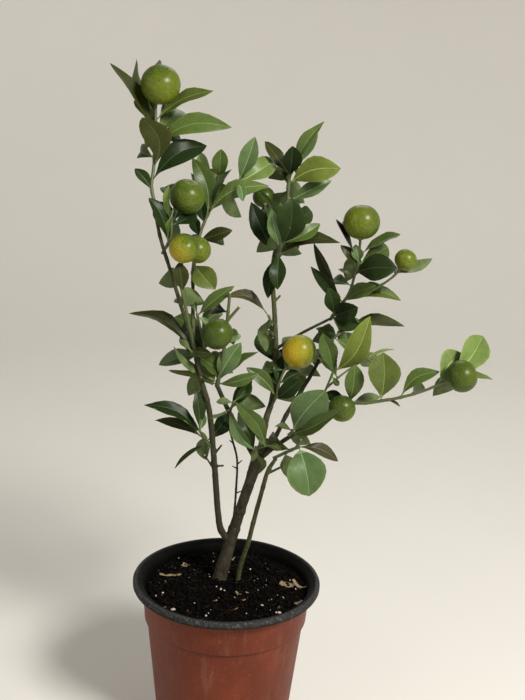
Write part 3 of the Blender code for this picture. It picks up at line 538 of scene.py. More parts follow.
def pick(*pieces):
    """Selects these pieces alone, and makes the first one active."""
    if bpy.context.mode != "OBJECT":
        bpy.ops.object.mode_set(mode="OBJECT")
    bpy.ops.object.select_all(action="DESELECT")
    for piece in pieces:
        piece.select_set(True)
    if pieces:
        bpy.context.view_layer.objects.active = pieces[0]


def smooth_by_angle(piece, degrees):
    pick(piece)
    bpy.ops.object.shade_smooth_by_angle(angle=math.radians(degrees))


def finish_modifiers(piece):
    """Applies all of a piece's modifiers."""
    pick(piece)
    for modifier in list(piece.modifiers):
        bpy.ops.object.modifier_apply(modifier=modifier.name)


def paint(piece, *finishes):
    """Gives a piece its finishes in place of any it has."""
    piece.data.materials.clear()
    for finish in finishes:
        piece.data.materials.append(finish)


def add_disc(name, sides, radius, height, fill="NGON"):
    """A flat disc, all of it selected in edit mode."""
    pick()
    bpy.ops.mesh.primitive_circle_add(vertices=sides, radius=radius * MM, fill_type=fill,
                                      location=(0, 0, height * MM))
    disc = bpy.context.object
    disc.name = disc.data.name = name
    pick(disc)
    bpy.ops.object.transform_apply(location=True, rotation=True, scale=True)
    bpy.ops.object.mode_set(mode="EDIT")
    bpy.ops.mesh.select_all(action="SELECT")
    return disc


def draw_out(outline):
    """Draws the selected edges out from ring to ring along an outline of radii and heights."""
    for (r0, z0), (r1, z1) in zip(outline, outline[1:]):
        bpy.ops.mesh.extrude_edges_move(TRANSFORM_OT_translate={"value": (0, 0, (z1 - z0) * MM)})
        bpy.ops.transform.resize(value=(r1 / r0, r1 / r0, 1), center_override=(0, 0, z1 * MM))


def end_edit(inside=False):
    """Turns every face outwards, or inwards, and leaves edit mode."""
    bpy.ops.mesh.select_all(action="SELECT")
    bpy.ops.mesh.normals_make_consistent(inside=inside)
    bpy.ops.object.mode_set(mode="OBJECT")


def rough(place, size, seed=0.0):
    """Even noise from -1 to 1 whose grains are about `size` millimetres wide."""
    return noise.noise(place / (size * MM) + Vector((seed, seed, seed)))


class Wire:
    """A shader socket, on which sums are written as plain expressions."""

    def __init__(self, board, socket):
        self.board = board
        self.socket = socket

    def sum(self, operation, first, second):
        return self.board.add("ShaderNodeMath", {"operation": operation}, {0: first, 1: second})

    def __add__(self, other):
        return self.sum("ADD", self, other)

    __radd__ = __add__

    def __sub__(self, other):
        return self.sum("SUBTRACT", self, other)

    def __rsub__(self, other):
        return self.sum("SUBTRACT", other, self)

    def __mul__(self, other):
        return self.sum("MULTIPLY", self, other)

    __rmul__ = __mul__


class Finish:
    """One material, and the nodes that make its pattern."""

    def __init__(self, name, roughness, **fixed):
        self.material = bpy.data.materials.new(name)
        self.material.use_nodes = True
        self.tree = self.material.node_tree
        self.shader = self.tree.nodes["Principled BSDF"]
        self.shader.inputs["Roughness"].default_value = roughness
        for socket, value in fixed.items():
            self.shader.inputs[socket.replace("_", " ")].default_value = value
        self.place = self.add("ShaderNodeTexCoord", {}, {}, "Object")

    def add(self, kind, settings, sockets, out=0):
        """A node of any kind: its settings come first, then the values or links of its sockets."""
        node = self.tree.nodes.new(kind)
        for key, value in settings.items():
            if key == "stops":
                self.set_stops(node.color_ramp, value)
            else:
                setattr(node, key, value)
        for key, value in sockets.items():
            self.join(node.inputs[key], value)
        return Wire(self, node.outputs[out])

    def join(self, socket, value):
        if isinstance(value, Wire):
            self.tree.links.new(value.socket, socket)
        elif isinstance(value, tuple) and len(value) == 3 and socket.type == "RGBA":
            socket.default_value = (*value, 1)
        else:
            socket.default_value = value

    def set_stops(self, ramp, stops):
        while len(ramp.elements) < len(stops):
            ramp.elements.new(1)
        for element, (share, color) in zip(ramp.elements, stops):
            element.position = share
            element.color = (*color, 1)

    def grain(self, size, detail=3.0, roughness=0.55, at=None):
        """Cloudy noise whose grains are about `size` millimetres wide."""
        return self.add("ShaderNodeTexNoise", {}, {"Vector": at or self.place, "Scale": 1 / (size * MM),
                                                   "Detail": detail, "Roughness": roughness})

    def spots(self, size, low, high, detail=3.0, roughness=0.55, at=None):
        """Patches of about `size` millimetres, where noise rises from low to high."""
        return self.step(self.grain(size, detail, roughness, at), low, high)

    def cells(self, size):
        """Distance to the middle of cells about `size` millimetres wide."""
        return self.add("ShaderNodeTexVoronoi", {"feature": "F1"},
                        {"Vector": self.place, "Scale": 1 / (size * MM)}, "Distance")

    def stretched(self, x, y, z):
        """The place on the piece, with each axis drawn out by a factor."""
        return self.add("ShaderNodeVectorMath", {"operation": "MULTIPLY"},
                        {0: self.place, 1: (1 / x, 1 / y, 1 / z)})

    def step(self, value, low, high):
        """A soft step from 0 at low to 1 at high."""
        return self.add("ShaderNodeMapRange", {"interpolation_type": "SMOOTHSTEP"},
                        {"Value": value, "From Min": low, "From Max": high})

    def mix(self, share, first, second, blend="MIX"):
        return self.add("ShaderNodeMix", {"data_type": "RGBA", "blend_type": blend},
                        {0: share, 6: first, 7: second}, 2)

    def tint(self, share, tone, factors, blend="MULTIPLY"):
        """A tone turned by a share into what it is when multiplied by the factors, or raised by them."""
        return self.mix(share, tone, self.mix(1.0, tone, factors, blend))

    def ramp(self, value, stops):
        return self.add("ShaderNodeValToRGB", {"stops": stops}, {"Fac": value})

    def axis(self, name):
        return self.add("ShaderNodeSeparateXYZ", {}, {"Vector": self.place}, name)

    def kept(self, name):
        """A number that the mesh keeps at each of its points."""
        return self.add("ShaderNodeAttribute", {"attribute_name": name}, {}, "Fac")

    def kept_three(self, name):
        """Three numbers that the mesh keeps at each of its points."""
        triple = self.add("ShaderNodeAttribute", {"attribute_name": name}, {}, "Vector")
        return [self.add("ShaderNodeSeparateXYZ", {}, {"Vector": triple}, axis) for axis in "XYZ"]

    def sine(self, turns):
        """From -1 to 1 and back for each whole turn."""
        return self.add("ShaderNodeMath", {"operation": "SINE"}, {0: turns * (2 * math.pi)})

    def color(self, value):
        self.join(self.shader.inputs["Base Color"], value)

    def gloss(self, value):
        self.join(self.shader.inputs["Roughness"], value)

    def relief(self, height, distance, strength=1.0):
        """Raises the surface by a height that counts `distance` millimetres, and gives the material."""
        sockets = {"Height": height, "Distance": distance * MM, "Strength": strength}
        self.join(self.shader.inputs["Normal"], self.add("ShaderNodeBump", {}, sockets, "Normal"))
        return self.material


def shade(color, factor):
    return tuple(channel * factor for channel in color)


def grainy(name, roughness, first, second, size, detail=2.0, **fixed):
    """A finish that wavers between two colours, in grains about `size` millimetres wide."""
    made = Finish(name, roughness, **fixed)
    made.color(made.mix(made.grain(size, detail), first, second))
    return made


def leaf_finish(name, color, roughness):
    """The upper side of a leaf: glossy, faintly mottled, with side veins and dusty specks."""
    made = Finish("leaf_" + name, roughness, Coat_Weight=0.05, Coat_Roughness=0.2,
                  Specular_IOR_Level=min(0.24, 0.02 + LEAF_SHEEN * color[1]))
    vein, out, chance = made.kept_three("leaf")
    tone = made.mix(chance, shade(color, 0.78), shade(color, 1.24))
    tone = made.tint(made.spots(6.0, 0.35, 0.68) * 0.5, tone, LEAF_MOTTLE)
    lines = made.step(made.sine(vein), 0.80, 1.0) * (1 - made.step(out, 0.75, 0.98))
    tone = made.tint(lines * 0.30, tone, LEAF_VEIN)
    tone = made.tint(made.step(out, 0.80, 1.0) * 0.35, tone, LEAF_EDGE)
    made.color(made.mix(made.spots(1.2, 0.68, 0.75, 2.0) * 0.10, tone, LEAF_DUST))
    made.gloss(roughness + made.grain(5.0, 2.0) * 0.20 - 0.10)
    return made.relief(made.grain(5.5) * 1.3 + made.grain(1.4, 2.0) * 0.2 - lines * 0.25, 0.30, 0.8)


def underside_finish(color):
    """The lower side of a leaf: paler and duller."""
    made = Finish("leaf_underside", 0.6, Specular_IOR_Level=0.25)
    made.color(made.mix(made.spots(6.0, 0.35, 0.7, 2.0), shade(color, 0.80), shade(color, 1.15)))
    return made.relief(made.grain(1.6), 0.08, 0.5)


def midrib_finish(name, color):
    """The rib and stalk of a leaf, paler than its blade."""
    pale = tuple(channel * RIB_PALER + color[1] * light for channel, light in zip(color, RIB_LIGHT))
    return grainy("rib_" + name, 0.5, shade(pale, 0.8), shade(pale, 1.2), 4.0, 1.0,
                  Specular_IOR_Level=0.3).material


def twig_finish(color):
    """Green young twigs with fine lengthwise lines, browner in places."""
    made = Finish("green_twig", 0.5)
    made.color(made.mix(made.spots(14.0, 0.48, 0.66, 2.0) * 0.6, color, TWIG_BROWN))
    return made.relief(made.grain(0.7, 2.0, at=made.stretched(1, 1, 5)), 0.12, 0.6)


def bark_finish(grey, brown, green):
    """Thin bark: grey-brown with fine cracks where the limb is thick, greener where it is thin."""
    made = Finish("bark", 0.78, Specular_IOR_Level=0.25)
    young = 1 - made.step(made.kept("girth"), 1.5, 3.4)
    tone = made.mix(made.spots(5.0, 0.38, 0.66, 4.0, at=made.stretched(1, 1, 2.5)), brown, grey)
    greener = made.mix(made.spots(9.0, 0.35, 0.65, 2.0), green, shade(green, 0.62))
    tone = made.mix(young * 0.85, tone, greener)
    cracks = made.spots(0.9, 0.50, 0.62, 3.0, 0.6, made.stretched(1, 1, 5))
    tone = made.mix(cracks * 0.55, tone, shade(brown, 0.35))
    # Painted shade: limbs that lie in the crown's shadow get darker bark
    tone = made.mix(made.kept("shady"), tone, shade(brown, 0.40))
    made.color(made.mix(made.spots(1.6, 0.66, 0.72, 2.0) * 0.45, tone, LICHEN))
    return made.relief(made.grain(0.8, 4.0, 0.65, made.stretched(1, 1, 4)) - cracks * 0.6, 0.35, 0.8)


def dry_wood_finish(color):
    """Dead wood, dark and dull."""
    made = Finish("dry_wood", 0.9, Specular_IOR_Level=0.15)
    made.color(made.mix(made.spots(3.0, 0.35, 0.7, at=made.stretched(1, 1, 4)),
                        shade(color, 0.6), shade(color, 1.9)))
    return made.relief(made.grain(0.6, at=made.stretched(1, 1, 5)), 0.2, 0.8)


def cut_wood_finish(name):
    """The pale end of a pruned stub."""
    return grainy(name, 0.7, *CUT_WOOD, 1.0).material


def calyx_finish():
    """The small dry star that holds a fruit, and the scar at its other end."""
    return grainy("calyx", 0.7, *CALYX, 0.8).material


def fruit_finish(unripe, ripe):
    """Citrus peel, dark green to golden by how ripe each place is, with pale specks in shallow pits, partly
    the oil glands' own colour and partly painted glints on their bumps.
    """
    made = Finish("citrus_peel", 0.36, Coat_Weight=0.32, Coat_Roughness=0.28, Specular_IOR_Level=0.04)
    ripeness = made.kept("ripeness") + (made.grain(6.0, 4.0, 0.6) - 0.5) * 0.30
    tone = made.ramp(ripeness, [(0.0, unripe), *PEEL_TONES, (1.0, ripe)])
    pores = made.cells(PEEL_PORE)
    green = 1 - made.step(ripeness, 0.42, 0.80)
    tone = made.tint(made.spots(3.2, 0.36, 0.66, 4.0, 0.65) * (0.07 + green * 0.35), tone, PEEL_BLOTCH)
    # Pale specks at the pores: partly the oil glands' own colour, partly painted glints
    pore_specks_and_glints = 1 - made.step(pores, 0.10, 0.40)
    made.color(made.tint(pore_specks_and_glints * (0.08 + green * 0.28), tone, PEEL_SPECK_GLINT, "ADD"))
    made.gloss(0.36 + made.grain(2.0, 2.0) * 0.16)
    pits = made.step(pores, 0.05, 0.55) * (0.5 + green * 0.5)
    return made.relief(pits + made.grain(2.0, 4.0, 0.65) * (0.5 + green * 0.6), 0.46)


def terracotta_finish(color, dust):
    """Thin moulded plastic: dusty scuffs, pale streaks down the side, and a painted shade line beneath the
    collar's step.
    """
    made = Finish("terracotta_plastic", 0.5, Specular_IOR_Level=0.14)
    tone = made.mix(made.spots(38.0, 0.3, 0.7), shade(color, 0.82), shade(color, 1.15))
    scuffs = made.spots(2.4, 0.60, 0.70, 5.0, 0.7)
    height = made.axis("Z")
    # Painted shade: a dark band just below the collar's step, where its overhang casts shade on the body
    collar_step_shade = made.step(height, (COLLAR_FOOT - 1.5) * MM, (COLLAR_FOOT - 0.6) * MM)
    collar_step_shade = collar_step_shade * (1 - made.step(height, (COLLAR_FOOT + 0.1) * MM, (COLLAR_FOOT + 0.7) * MM))
    for share, over in (
            (made.spots(7.0, 0.54, 0.72, 4.0, 0.6, made.stretched(1, 1, 9)) * 0.14, dust),
            (scuffs * 0.34, dust),
            (made.spots(0.9, 0.70, 0.74, 2.0) * 0.35, POT_SPECK),
            (made.spots(13.0, 0.62, 0.75, 4.0, 0.6) * 0.45, shade(color, 0.35)),
            (collar_step_shade * 0.6, shade(color, 0.28))):
        tone = made.mix(share, tone, over)
    made.color(tone)
    made.gloss(0.42 + scuffs * 0.25 + made.grain(11.0, 2.0) * 0.14)
    return made.relief(made.grain(26.0, 2.0) * 1.6 + made.grain(1.1) * 0.12, 0.8, 0.5)


def liner_finish(color):
    """The pot's dark inner layer, which curls over the rim: pale at its outer edge, partly from wear and
    partly painted highlight, and darkened inside the mouth as painted shade.
    """
    made = Finish("dark_liner", 0.6, Specular_IOR_Level=0.08)
    edge = made.step(made.axis("Z"), (RIM_TOP - 5.5) * MM, (RIM_TOP - 2.0) * MM)
    across, deep = made.axis("X"), made.axis("Y")
    # Painted shade: inside the mouth the liner is darkened to a tenth of its colour
    inner = 1 - made.step(across * across + deep * deep, ((RIM_RADIUS - 4.6) * MM) ** 2,
                          ((RIM_RADIUS - 2.4) * MM) ** 2)
    # The top of the rolled rim is paler: partly wear, partly a painted highlight on the roll
    worn_and_highlit = edge * (1 - inner)
    tone = made.mix(made.grain(12.0), shade(color, 0.75), shade(color, 1.3))
    for share, over in (
            (worn_and_highlit * 0.75, shade(color, 4.2)),
            (made.spots(2.2, 0.50, 0.68, 5.0, 0.7) * worn_and_highlit * 0.45, RIM_SCUFF),
            (inner * 0.92, shade(color, 0.10)),
            (made.spots(4.0, 0.55, 0.66, 4.0, 0.65) * (1 - edge) * 0.6, EARTH)):
        tone = made.mix(share, tone, over)
    made.color(tone)
    made.gloss(0.48 + made.grain(3.0) * 0.25)
    return made.relief(made.grain(1.6, 4.0, 0.6), 0.12, 0.6)


def soil_finish(color):
    """Dark moist peat: fine clods, brown fibres and grey dust."""
    made = Finish("potting_soil", 0.95, Specular_IOR_Level=0.02)
    clods = made.grain(2.6, 6.0, 0.72)
    tone = made.ramp(clods, [(0.30, shade(color, 0.35)), (0.50, color), (0.66, shade(color, 2.2)),
                             (0.80, shade(color, 4.5))])
    fibres = made.spots(1.4, 0.62, 0.70, 4.0, 0.6, made.stretched(6, 1, 1))
    made.color(made.mix(fibres * 0.5, tone, PEAT_FIBRE))
    return made.relief(made.grain(1.1, 6.0, 0.75) + clods, 1.1)


def grit_finish(name, color, roughness=0.85):
    """Loose bits on the soil, each a little lighter or darker from place to place."""
    made = grainy(name, roughness, shade(color, 0.6), shade(color, 1.35), 2.5, 3.0, Specular_IOR_Level=0.06)
    return made.relief(made.grain(0.6), 0.15, 0.7)


def floor_finish(color):
    """The plain pale floor, faintly uneven."""
    return grainy("pale_floor", 0.55, shade(color, 0.985), shade(color, 1.01), 180.0).material


class TreeSizes(bpy.types.PropertyGroup):
    """Sizes that a user may change."""

    pot_segments: IntProperty(name="Pot segments", description="Faces round the pot", default=144, min=24)
    voxel: FloatProperty(name="Bark voxel", description="Cell size of the wood's skin", default=0.0005,
                         min=0.0002, unit="LENGTH", precision=5)
    bark_relief: FloatProperty(name="Bark relief", description="How deep the bark is cut on a thick limb",
                               default=0.00028, unit="LENGTH", precision=5)
    leaf_thickness: FloatProperty(name="Leaf thickness", description="How thick a blade is",
                                  default=0.00036, unit="LENGTH", precision=5)
    leaf_fold: FloatProperty(name="Leaf fold", description="How far a blade folds up along its midrib",
                             default=0.34, min=0, max=1, subtype="FACTOR")
    leaf_camber: FloatProperty(name="Leaf camber", default=0.09, min=0, max=0.5, subtype="FACTOR",
                               description="How far a blade arches, as a share of its length")
    leaf_curl: FloatProperty(name="Leaf curl", description="How far a blade's tip bends back", default=0.25,
                             min=0, max=1, subtype="FACTOR")
    leaf_twist: FloatProperty(name="Leaf twist", description="How far a blade turns from stalk to tip",
                              default=0.75, min=0, unit="ROTATION")
    crumbs: IntProperty(name="Crumbs", description="Loose crumbs on the soil", default=1500, min=0)
    perlite: IntProperty(name="Perlite", description="White grains on the soil", default=80, min=0)


def color_property(name, description, default):
    return FloatVectorProperty(name=name, description=description, subtype="COLOR", size=3, min=0, max=1,
                               default=default)


class TreeColors(bpy.types.PropertyGroup):
    """Colours that a user may change."""

    terracotta: color_property("Pot", "The pot's outside", (0.132, 0.027, 0.011))
    dust: color_property("Dust", "Dust and scuffs on the pot", (0.27, 0.165, 0.125))
    liner: color_property("Liner", "The pot's inside and rim", (0.007, 0.007, 0.007))
    soil: color_property("Soil", "Moist potting mix", (0.0028, 0.0020, 0.0015))
    bark_grey: color_property("Bark, grey", "Weathered bark", (0.054, 0.046, 0.031))
    bark_brown: color_property("Bark, brown", "Bark between the grey patches", (0.030, 0.024, 0.013))
    bark_green: color_property("Bark, green", "Bark of thin young limbs", (0.092, 0.104, 0.036))
    dry_wood: color_property("Dry wood", "The dead twig", (0.020, 0.014, 0.010))
    twig: color_property("Twigs", "Green twigs", (0.060, 0.085, 0.020))
    underside: color_property("Undersides", "The lower side of leaves", (0.095, 0.130, 0.045))
    unripe: color_property("Unripe peel", "The greenest peel", (0.027, 0.050, 0.006))
    ripe: color_property("Ripe peel", "The ripest peel", (0.47, 0.22, 0.008))
    floor: color_property("Floor", "The plain floor", (0.72, 0.70, 0.66))


class TreeSettings(bpy.types.PropertyGroup):
    """All that a user may change."""

    sizes: PointerProperty(type=TreeSizes)
    colors: PointerProperty(type=TreeColors)


def settings():
    return bpy.context.scene.potted_tree


def color_of(name):
    return tuple(getattr(settings().colors, name))


def pot_outline():
    """The pot's section as radius and height, from its underside up the outside and down the inside."""
    lip = RIM_TOP - RIM_DEPTH
    inner = COLLAR_TOP_RADIUS - POT_WALL
    return [
        (BASE_RADIUS - 0.8, 0), (BASE_RADIUS + 0.6, 0.3),
        (BODY_FOOT_RADIUS - 0.4, 1.4), (BODY_FOOT_RADIUS, 2.8),
        (BODY_TOP_RADIUS, COLLAR_FOOT - 2.0), (BODY_TOP_RADIUS + 0.3, COLLAR_FOOT - 1.2),
        (COLLAR_FOOT_RADIUS - 0.4, COLLAR_FOOT - 0.5), (COLLAR_FOOT_RADIUS, COLLAR_FOOT + 0.4),
        (COLLAR_TOP_RADIUS, lip - 2.0), (COLLAR_TOP_RADIUS + 0.5, lip - 0.6),
        (COLLAR_TOP_RADIUS + 1.8, lip - 0.1), (RIM_RADIUS - 1.6, lip), (RIM_RADIUS - 0.5, lip + 0.5),
        (RIM_RADIUS, lip + 1.6), (RIM_RADIUS, lip + 3.6), (RIM_RADIUS - 0.6, RIM_TOP - 0.7),
        (RIM_RADIUS - 1.8, RIM_TOP - 0.1), (RIM_RADIUS - 3.2, RIM_TOP), (RIM_RADIUS - 5.2, RIM_TOP - 0.6),
        (inner + 2.0, RIM_TOP - 2.4), (inner + 0.6, RIM_TOP - 4.6), (inner, lip - 2.6),
        (COLLAR_FOOT_RADIUS - POT_WALL, COLLAR_FOOT + 1), (BODY_TOP_RADIUS - POT_WALL, COLLAR_FOOT - 2.5),
        (BODY_FOOT_RADIUS - POT_WALL, 3.5), (BASE_RADIUS - POT_WALL, POT_WALL)]


def warp_round(piece, amount):
    """Makes a turned shell a little out of round, as thin moulded plastic is, most at its mouth."""
    for vertex in piece.data.vertices:
        turn = math.atan2(vertex.co.y, vertex.co.x)
        wave = noise.noise(Vector((math.cos(turn), math.sin(turn), vertex.co.z / (60 * MM))) * 1.3)
        grow = 1 - amount * abs(wave) * (vertex.co.z / (RIM_TOP * MM)) ** 2
        vertex.co.x *= grow
        vertex.co.y *= grow


class TREE_OT_pot(bpy.types.Operator):
    """Model the thin nursery pot, with its rolled rim and drain holes"""

    bl_idname = "tree.pot"
    bl_label = "Pot"

    def execute(self, context):
        outline = pot_outline()
        pot = add_disc("pot_shell", settings().sizes.pot_segments, *outline[0])
        bpy.ops.mesh.region_to_loop()
        draw_out(outline)
        bpy.ops.mesh.edge_face_add()
        end_edit()
        warp_round(pot, POT_WARP)
        for k in range(DRAIN_HOLES):
            turn = 2 * math.pi * (k + 0.5) / DRAIN_HOLES
            place = Vector((math.cos(turn), math.sin(turn), 0)) * DRAIN_RING_RADIUS * MM
            bpy.ops.mesh.primitive_cylinder_add(vertices=32, radius=DRAIN_HOLE_RADIUS * MM, depth=10 * MM,
                                                location=place)
            cutter = bpy.context.object
            pot.modifiers.new("drain_hole", "BOOLEAN").object = cutter
            finish_modifiers(pot)
            bpy.data.objects.remove(cutter)
        outer = terracotta_finish(color_of("terracotta"), color_of("dust"))
        paint(pot, outer, liner_finish(color_of("liner")))
        lip = (RIM_TOP - RIM_DEPTH + 0.2) * MM
        for face in pot.data.polygons:
            inward = Vector((face.center.x, face.center.y, 0)).dot(face.normal) < 0
            inside = inward or (face.normal.z > 0.9 and face.center.z < 5 * MM)
            face.material_index = 1 if inside or face.center.z > lip else 0
        smooth_by_angle(pot, POT_CREASE)
        dress(pot)
        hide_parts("pot")
        return {"FINISHED"}


def soil_height(place):
    """How far the soil stands over its mean level at a place, in metres."""
    away = math.hypot(place.x, place.y) / (COLLAR_TOP_RADIUS * MM)
    heap = sum(height * rough(place, width, seed) for height, width, seed in SOIL_WAVES)
    off = (place.xy.to_3d() - Vector(TRUNK_FOOT) * MM).length
    mound = TRUNK_MOUND * math.exp(-(off / (MOUND_WIDTH * MM)) ** 2)
    return (heap * (1 - 0.5 * away ** 4) + mound - 1.2 * away ** 6) * MM


class TREE_OT_soil(bpy.types.Operator):
    """Model the soil that fills the pot, heaped a little round the trunk"""

    bl_idname = "tree.soil"
    bl_label = "Soil"

    def execute(self, context):
        floor = POT_WALL + SOIL_GAP
        shell = (COLLAR_TOP_RADIUS, BODY_TOP_RADIUS, BASE_RADIUS)
        mouth, shoulder, foot = (radius - floor for radius in shell)
        soil = add_disc("soil_bed", SOIL_SIDES, mouth, SOIL_TOP, "TRIFAN")
        for _ in range(SOIL_CUTS):
            bpy.ops.mesh.subdivide(number_cuts=1)
        bpy.ops.mesh.region_to_loop()
        bpy.ops.object.mode_set(mode="OBJECT")
        for vertex in soil.data.vertices:
            vertex.co.z += soil_height(vertex.co)
        bpy.ops.object.mode_set(mode="EDIT")
        draw_out([(mouth, SOIL_TOP), (shoulder, COLLAR_FOOT), (foot, floor)])
        bpy.ops.transform.resize(value=(1, 1, 0), center_override=(0, 0, floor * MM))
        bpy.ops.mesh.edge_face_add()
        end_edit()
        smooth_by_angle(soil, SOIL_CREASE)
        paint(soil, soil_finish(color_of("soil")))
        dress(soil)
        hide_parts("soil")
        return {"FINISHED"}


def crumb_shape():
    """A small blob of 20 faces, as points and faces."""
    body = bmesh.new()
    bmesh.ops.create_icosphere(body, subdivisions=1, radius=1)
    shape = [v.co.copy() for v in body.verts], [[v.index for v in face.verts] for face in body.faces]
    body.free()
    return shape


def scatter_place(source, reach):
    """A place on the soil, even over its disc out to a radius in millimetres."""
    turn, away = source.uniform(0, 2 * math.pi), reach * math.sqrt(source.random())
    place = Vector((math.cos(turn) * away, math.sin(turn) * away, SOIL_TOP)) * MM
    place.z += soil_height(place)
    return place


def strew(gathering, shape, source, count, sizes, flat, sunk):
    """Adds lumps of many sizes and turns to the soil, each pushed in by a share of its size."""
    points, faces = shape
    for _ in range(count):
        size = source.uniform(*sizes) * source.uniform(0.6, 1.0) * MM
        place = scatter_place(source, COLLAR_TOP_RADIUS - POT_WALL - CRUMB_MARGIN)
        angle = source.uniform(0, 2 * math.pi)
        axis = Vector([source.uniform(-1, 1) for _ in range(3)]).normalized()
        turn = Matrix.Rotation(angle, 3, axis)
        stretch = Vector([share * source.uniform(0.7, 1.3) for share in (1, 1, flat)])
        place.z += size * flat * (1 - sunk)
        lump = []
        for p in points:
            bent = turn @ (p * source.uniform(0.8, 1.15))
            lump.append(place + bent * stretch * size)
        gathering.add(lump, faces)


def on_soil(column, row):
    """The place on the soil that shows at a pixel of the photograph."""
    ahead = -TOWARDS * VIEW_PIXELS + RIGHT * (column - PICTURE_WIDTH / 2) - UP * (row - PICTURE_HEIGHT / 2)
    start = Vector(VIEW_PLACE)
    place = start + ahead * ((SOIL_TOP * MM - start.z) / ahead.z)
    place.z += soil_height(place)
    return place


def chip(gathering, place, length, width, turn, tilt, curl):
    """A thin flake of bark or dry leaf, in four faces a side, bent along its length."""
    along = Vector((math.cos(turn), math.sin(turn), 0))
    across = Vector((-math.sin(turn), math.cos(turn), tilt)).normalized()
    thick = Vector((0, 0, CHIP_THICKNESS * MM))
    points = []
    for k in range(5):
        share = k / 4 - 0.5
        edge = across * width * (0.55 - 0.7 * share * share) * MM
        middle = place + along * share * length * MM + Vector((0, 0, curl * (share * 2) ** 2 * MM)) + thick
        points += [middle - edge, middle + edge, middle + edge - thick, middle - edge - thick]
    sides = [[i * 4 + 4 + k, i * 4 + 4 + (k + 1) % 4, i * 4 + (k + 1) % 4, i * 4 + k]
             for i in range(4) for k in range(4)]
    gathering.add(points, [[3, 2, 1, 0], [16, 17, 18, 19], *sides])


class TREE_OT_litter(bpy.types.Operator):
    """Strew the soil with crumbs, perlite, pebbles, bark chips and root fibres"""

    bl_idname = "tree.litter"
    bl_label = "Loose bits on the soil"

    def execute(self, context):
        source = random.Random(LITTER_SEED)
        sizes = settings().sizes
        crumb = crumb_shape()
        reach = COLLAR_TOP_RADIUS - POT_WALL - CHIP_MARGIN
        crumbs, pale_crumbs, perlite, pebbles, chips, fibres = (Gathering() for _ in range(6))
        strew(crumbs, crumb, source, sizes.crumbs, (0.6, 2.2), 0.75, 0.4)
        strew(pale_crumbs, crumb, source, sizes.crumbs // 8, (0.4, 1.5), 0.7, 0.3)
        strew(perlite, crumb, source, sizes.perlite, (0.35, 1.1), 0.8, 0.2)
        for column, row, size in SOIL_PEBBLES:
            place = on_soil(column, row)
            points = [place + Vector((p.x, p.y * 0.8, p.z * 0.6)) * size * source.uniform(0.9, 1.1) * MM
                      for p in crumb[0]]
            pebbles.add(points, crumb[1])
        for column, row, length, width, turn, curl in SOIL_CHIPS:
            tilt = source.uniform(-0.2, 0.2)
            chip(chips, on_soil(column, row), length, width, math.radians(turn), tilt, curl)
        for _ in range(RANDOM_CHIPS):
            chip(chips, scatter_place(source, reach), source.uniform(2.5, 7), source.uniform(0.8, 2.4),
                 source.uniform(0, math.pi), source.uniform(-0.5, 0.5), source.uniform(0, 1.2))
        for _ in range(RANDOM_FIBRES):
            start = scatter_place(source, reach)
            turn = source.uniform(0, 2 * math.pi)
            ways = []
            for k in range(4):
                step = Vector((math.cos(turn), math.sin(turn), 0)) * k * source.uniform(1.2, 3.2) * MM
                place = start + step
                place.z = SOIL_TOP * MM + soil_height(place) + source.uniform(0.1, 0.9) * MM
                ways.append(Vector((*place, source.uniform(0.10, 0.22) * MM)))
                turn += source.uniform(-0.7, 0.7)
            fibres.add(*tube(smooth_path(ways, FINE_STEP * MM), FIBRE_SIDES))
        for name, gathering, finish in (
                ("soil_crumbs", crumbs, grit_finish("dark_crumbs", (0.0024, 0.0018, 0.0014))),
                ("brown_crumbs", pale_crumbs, grit_finish("brown_crumbs", (0.015, 0.0095, 0.006))),
                ("perlite", perlite, grit_finish("perlite", (0.52, 0.49, 0.44))),
                ("pebbles", pebbles, grit_finish("pebbles", (0.42, 0.36, 0.28), 0.6)),
                ("bark_chips", chips, grit_finish("bark_chips", (0.24, 0.18, 0.105))),
                ("root_fibres", fibres, grit_finish("root_fibres", (0.030, 0.019, 0.011)))):
            gathering.build(name, [finish], "potting_soil")
        return {"FINISHED"}


def girth_of(samples):
    """A search tree over limb samples, and for each sample the way its limb runs and the limb's number."""
    flat = [(limb[i], (limb[min(i + 1, len(limb) - 1)].xyz - limb[max(i - 1, 0)].xyz).normalized(), number)
            for number, limb in enumerate(samples) for i in range(len(limb))]
    tree = kdtree.KDTree(len(flat))
    for i, (sample, _, _) in enumerate(flat):
        tree.insert(sample.xyz, i)
    tree.balance()
    return tree, flat


def knotty(samples, seed):
    """Samples of a limb with small swellings along it, as at old leaf scars."""
    knots = []
    for run, sample in walk(samples):
        swell = 1 + WAVE_RISE * noise.noise(Vector((run / (WAVE_LENGTH * MM), seed, 0)))
        turn = 2 * math.pi * run / (KNOT_SPACING * MM) + seed
        knot = max(0.0, math.cos(turn)) ** KNOT_SHARPNESS
        knots.append(Vector((*sample.xyz, sample.w * (swell + KNOT_RISE * knot))))
    return knots


def carve_bark(piece, samples, depth, painted_shade_shares):
    """Cuts the skin by noise drawn out along each limb, and keeps the limb's radius and its painted shade."""
    tree, flat = girth_of(samples)
    mesh = piece.data
    girths, painted_shades = [], []
    normals = [vertex.normal.copy() for vertex in mesh.vertices]
    for vertex, normal in zip(mesh.vertices, normals):
        sample, along, number = flat[tree.find(vertex.co)[1]]
        girth = sample.w / MM
        run = along * vertex.co.dot(along)
        drawn = vertex.co - run + run / BARK_DRAW
        cut = 0.55 * rough(drawn, 0.9) + 0.45 * rough(drawn, 2.4, 5) + 0.5 * rough(vertex.co, 7, 9)
        vertex.co += normal * cut * depth * min(1.0, girth / FULL_BARK)
        girths.append(girth)
        painted_shades.append(painted_shade_shares[number])
    mesh.attributes.new("girth", "FLOAT", "POINT").data.foreach_set("value", girths)
    mesh.attributes.new("shady", "FLOAT", "POINT").data.foreach_set("value", painted_shades)


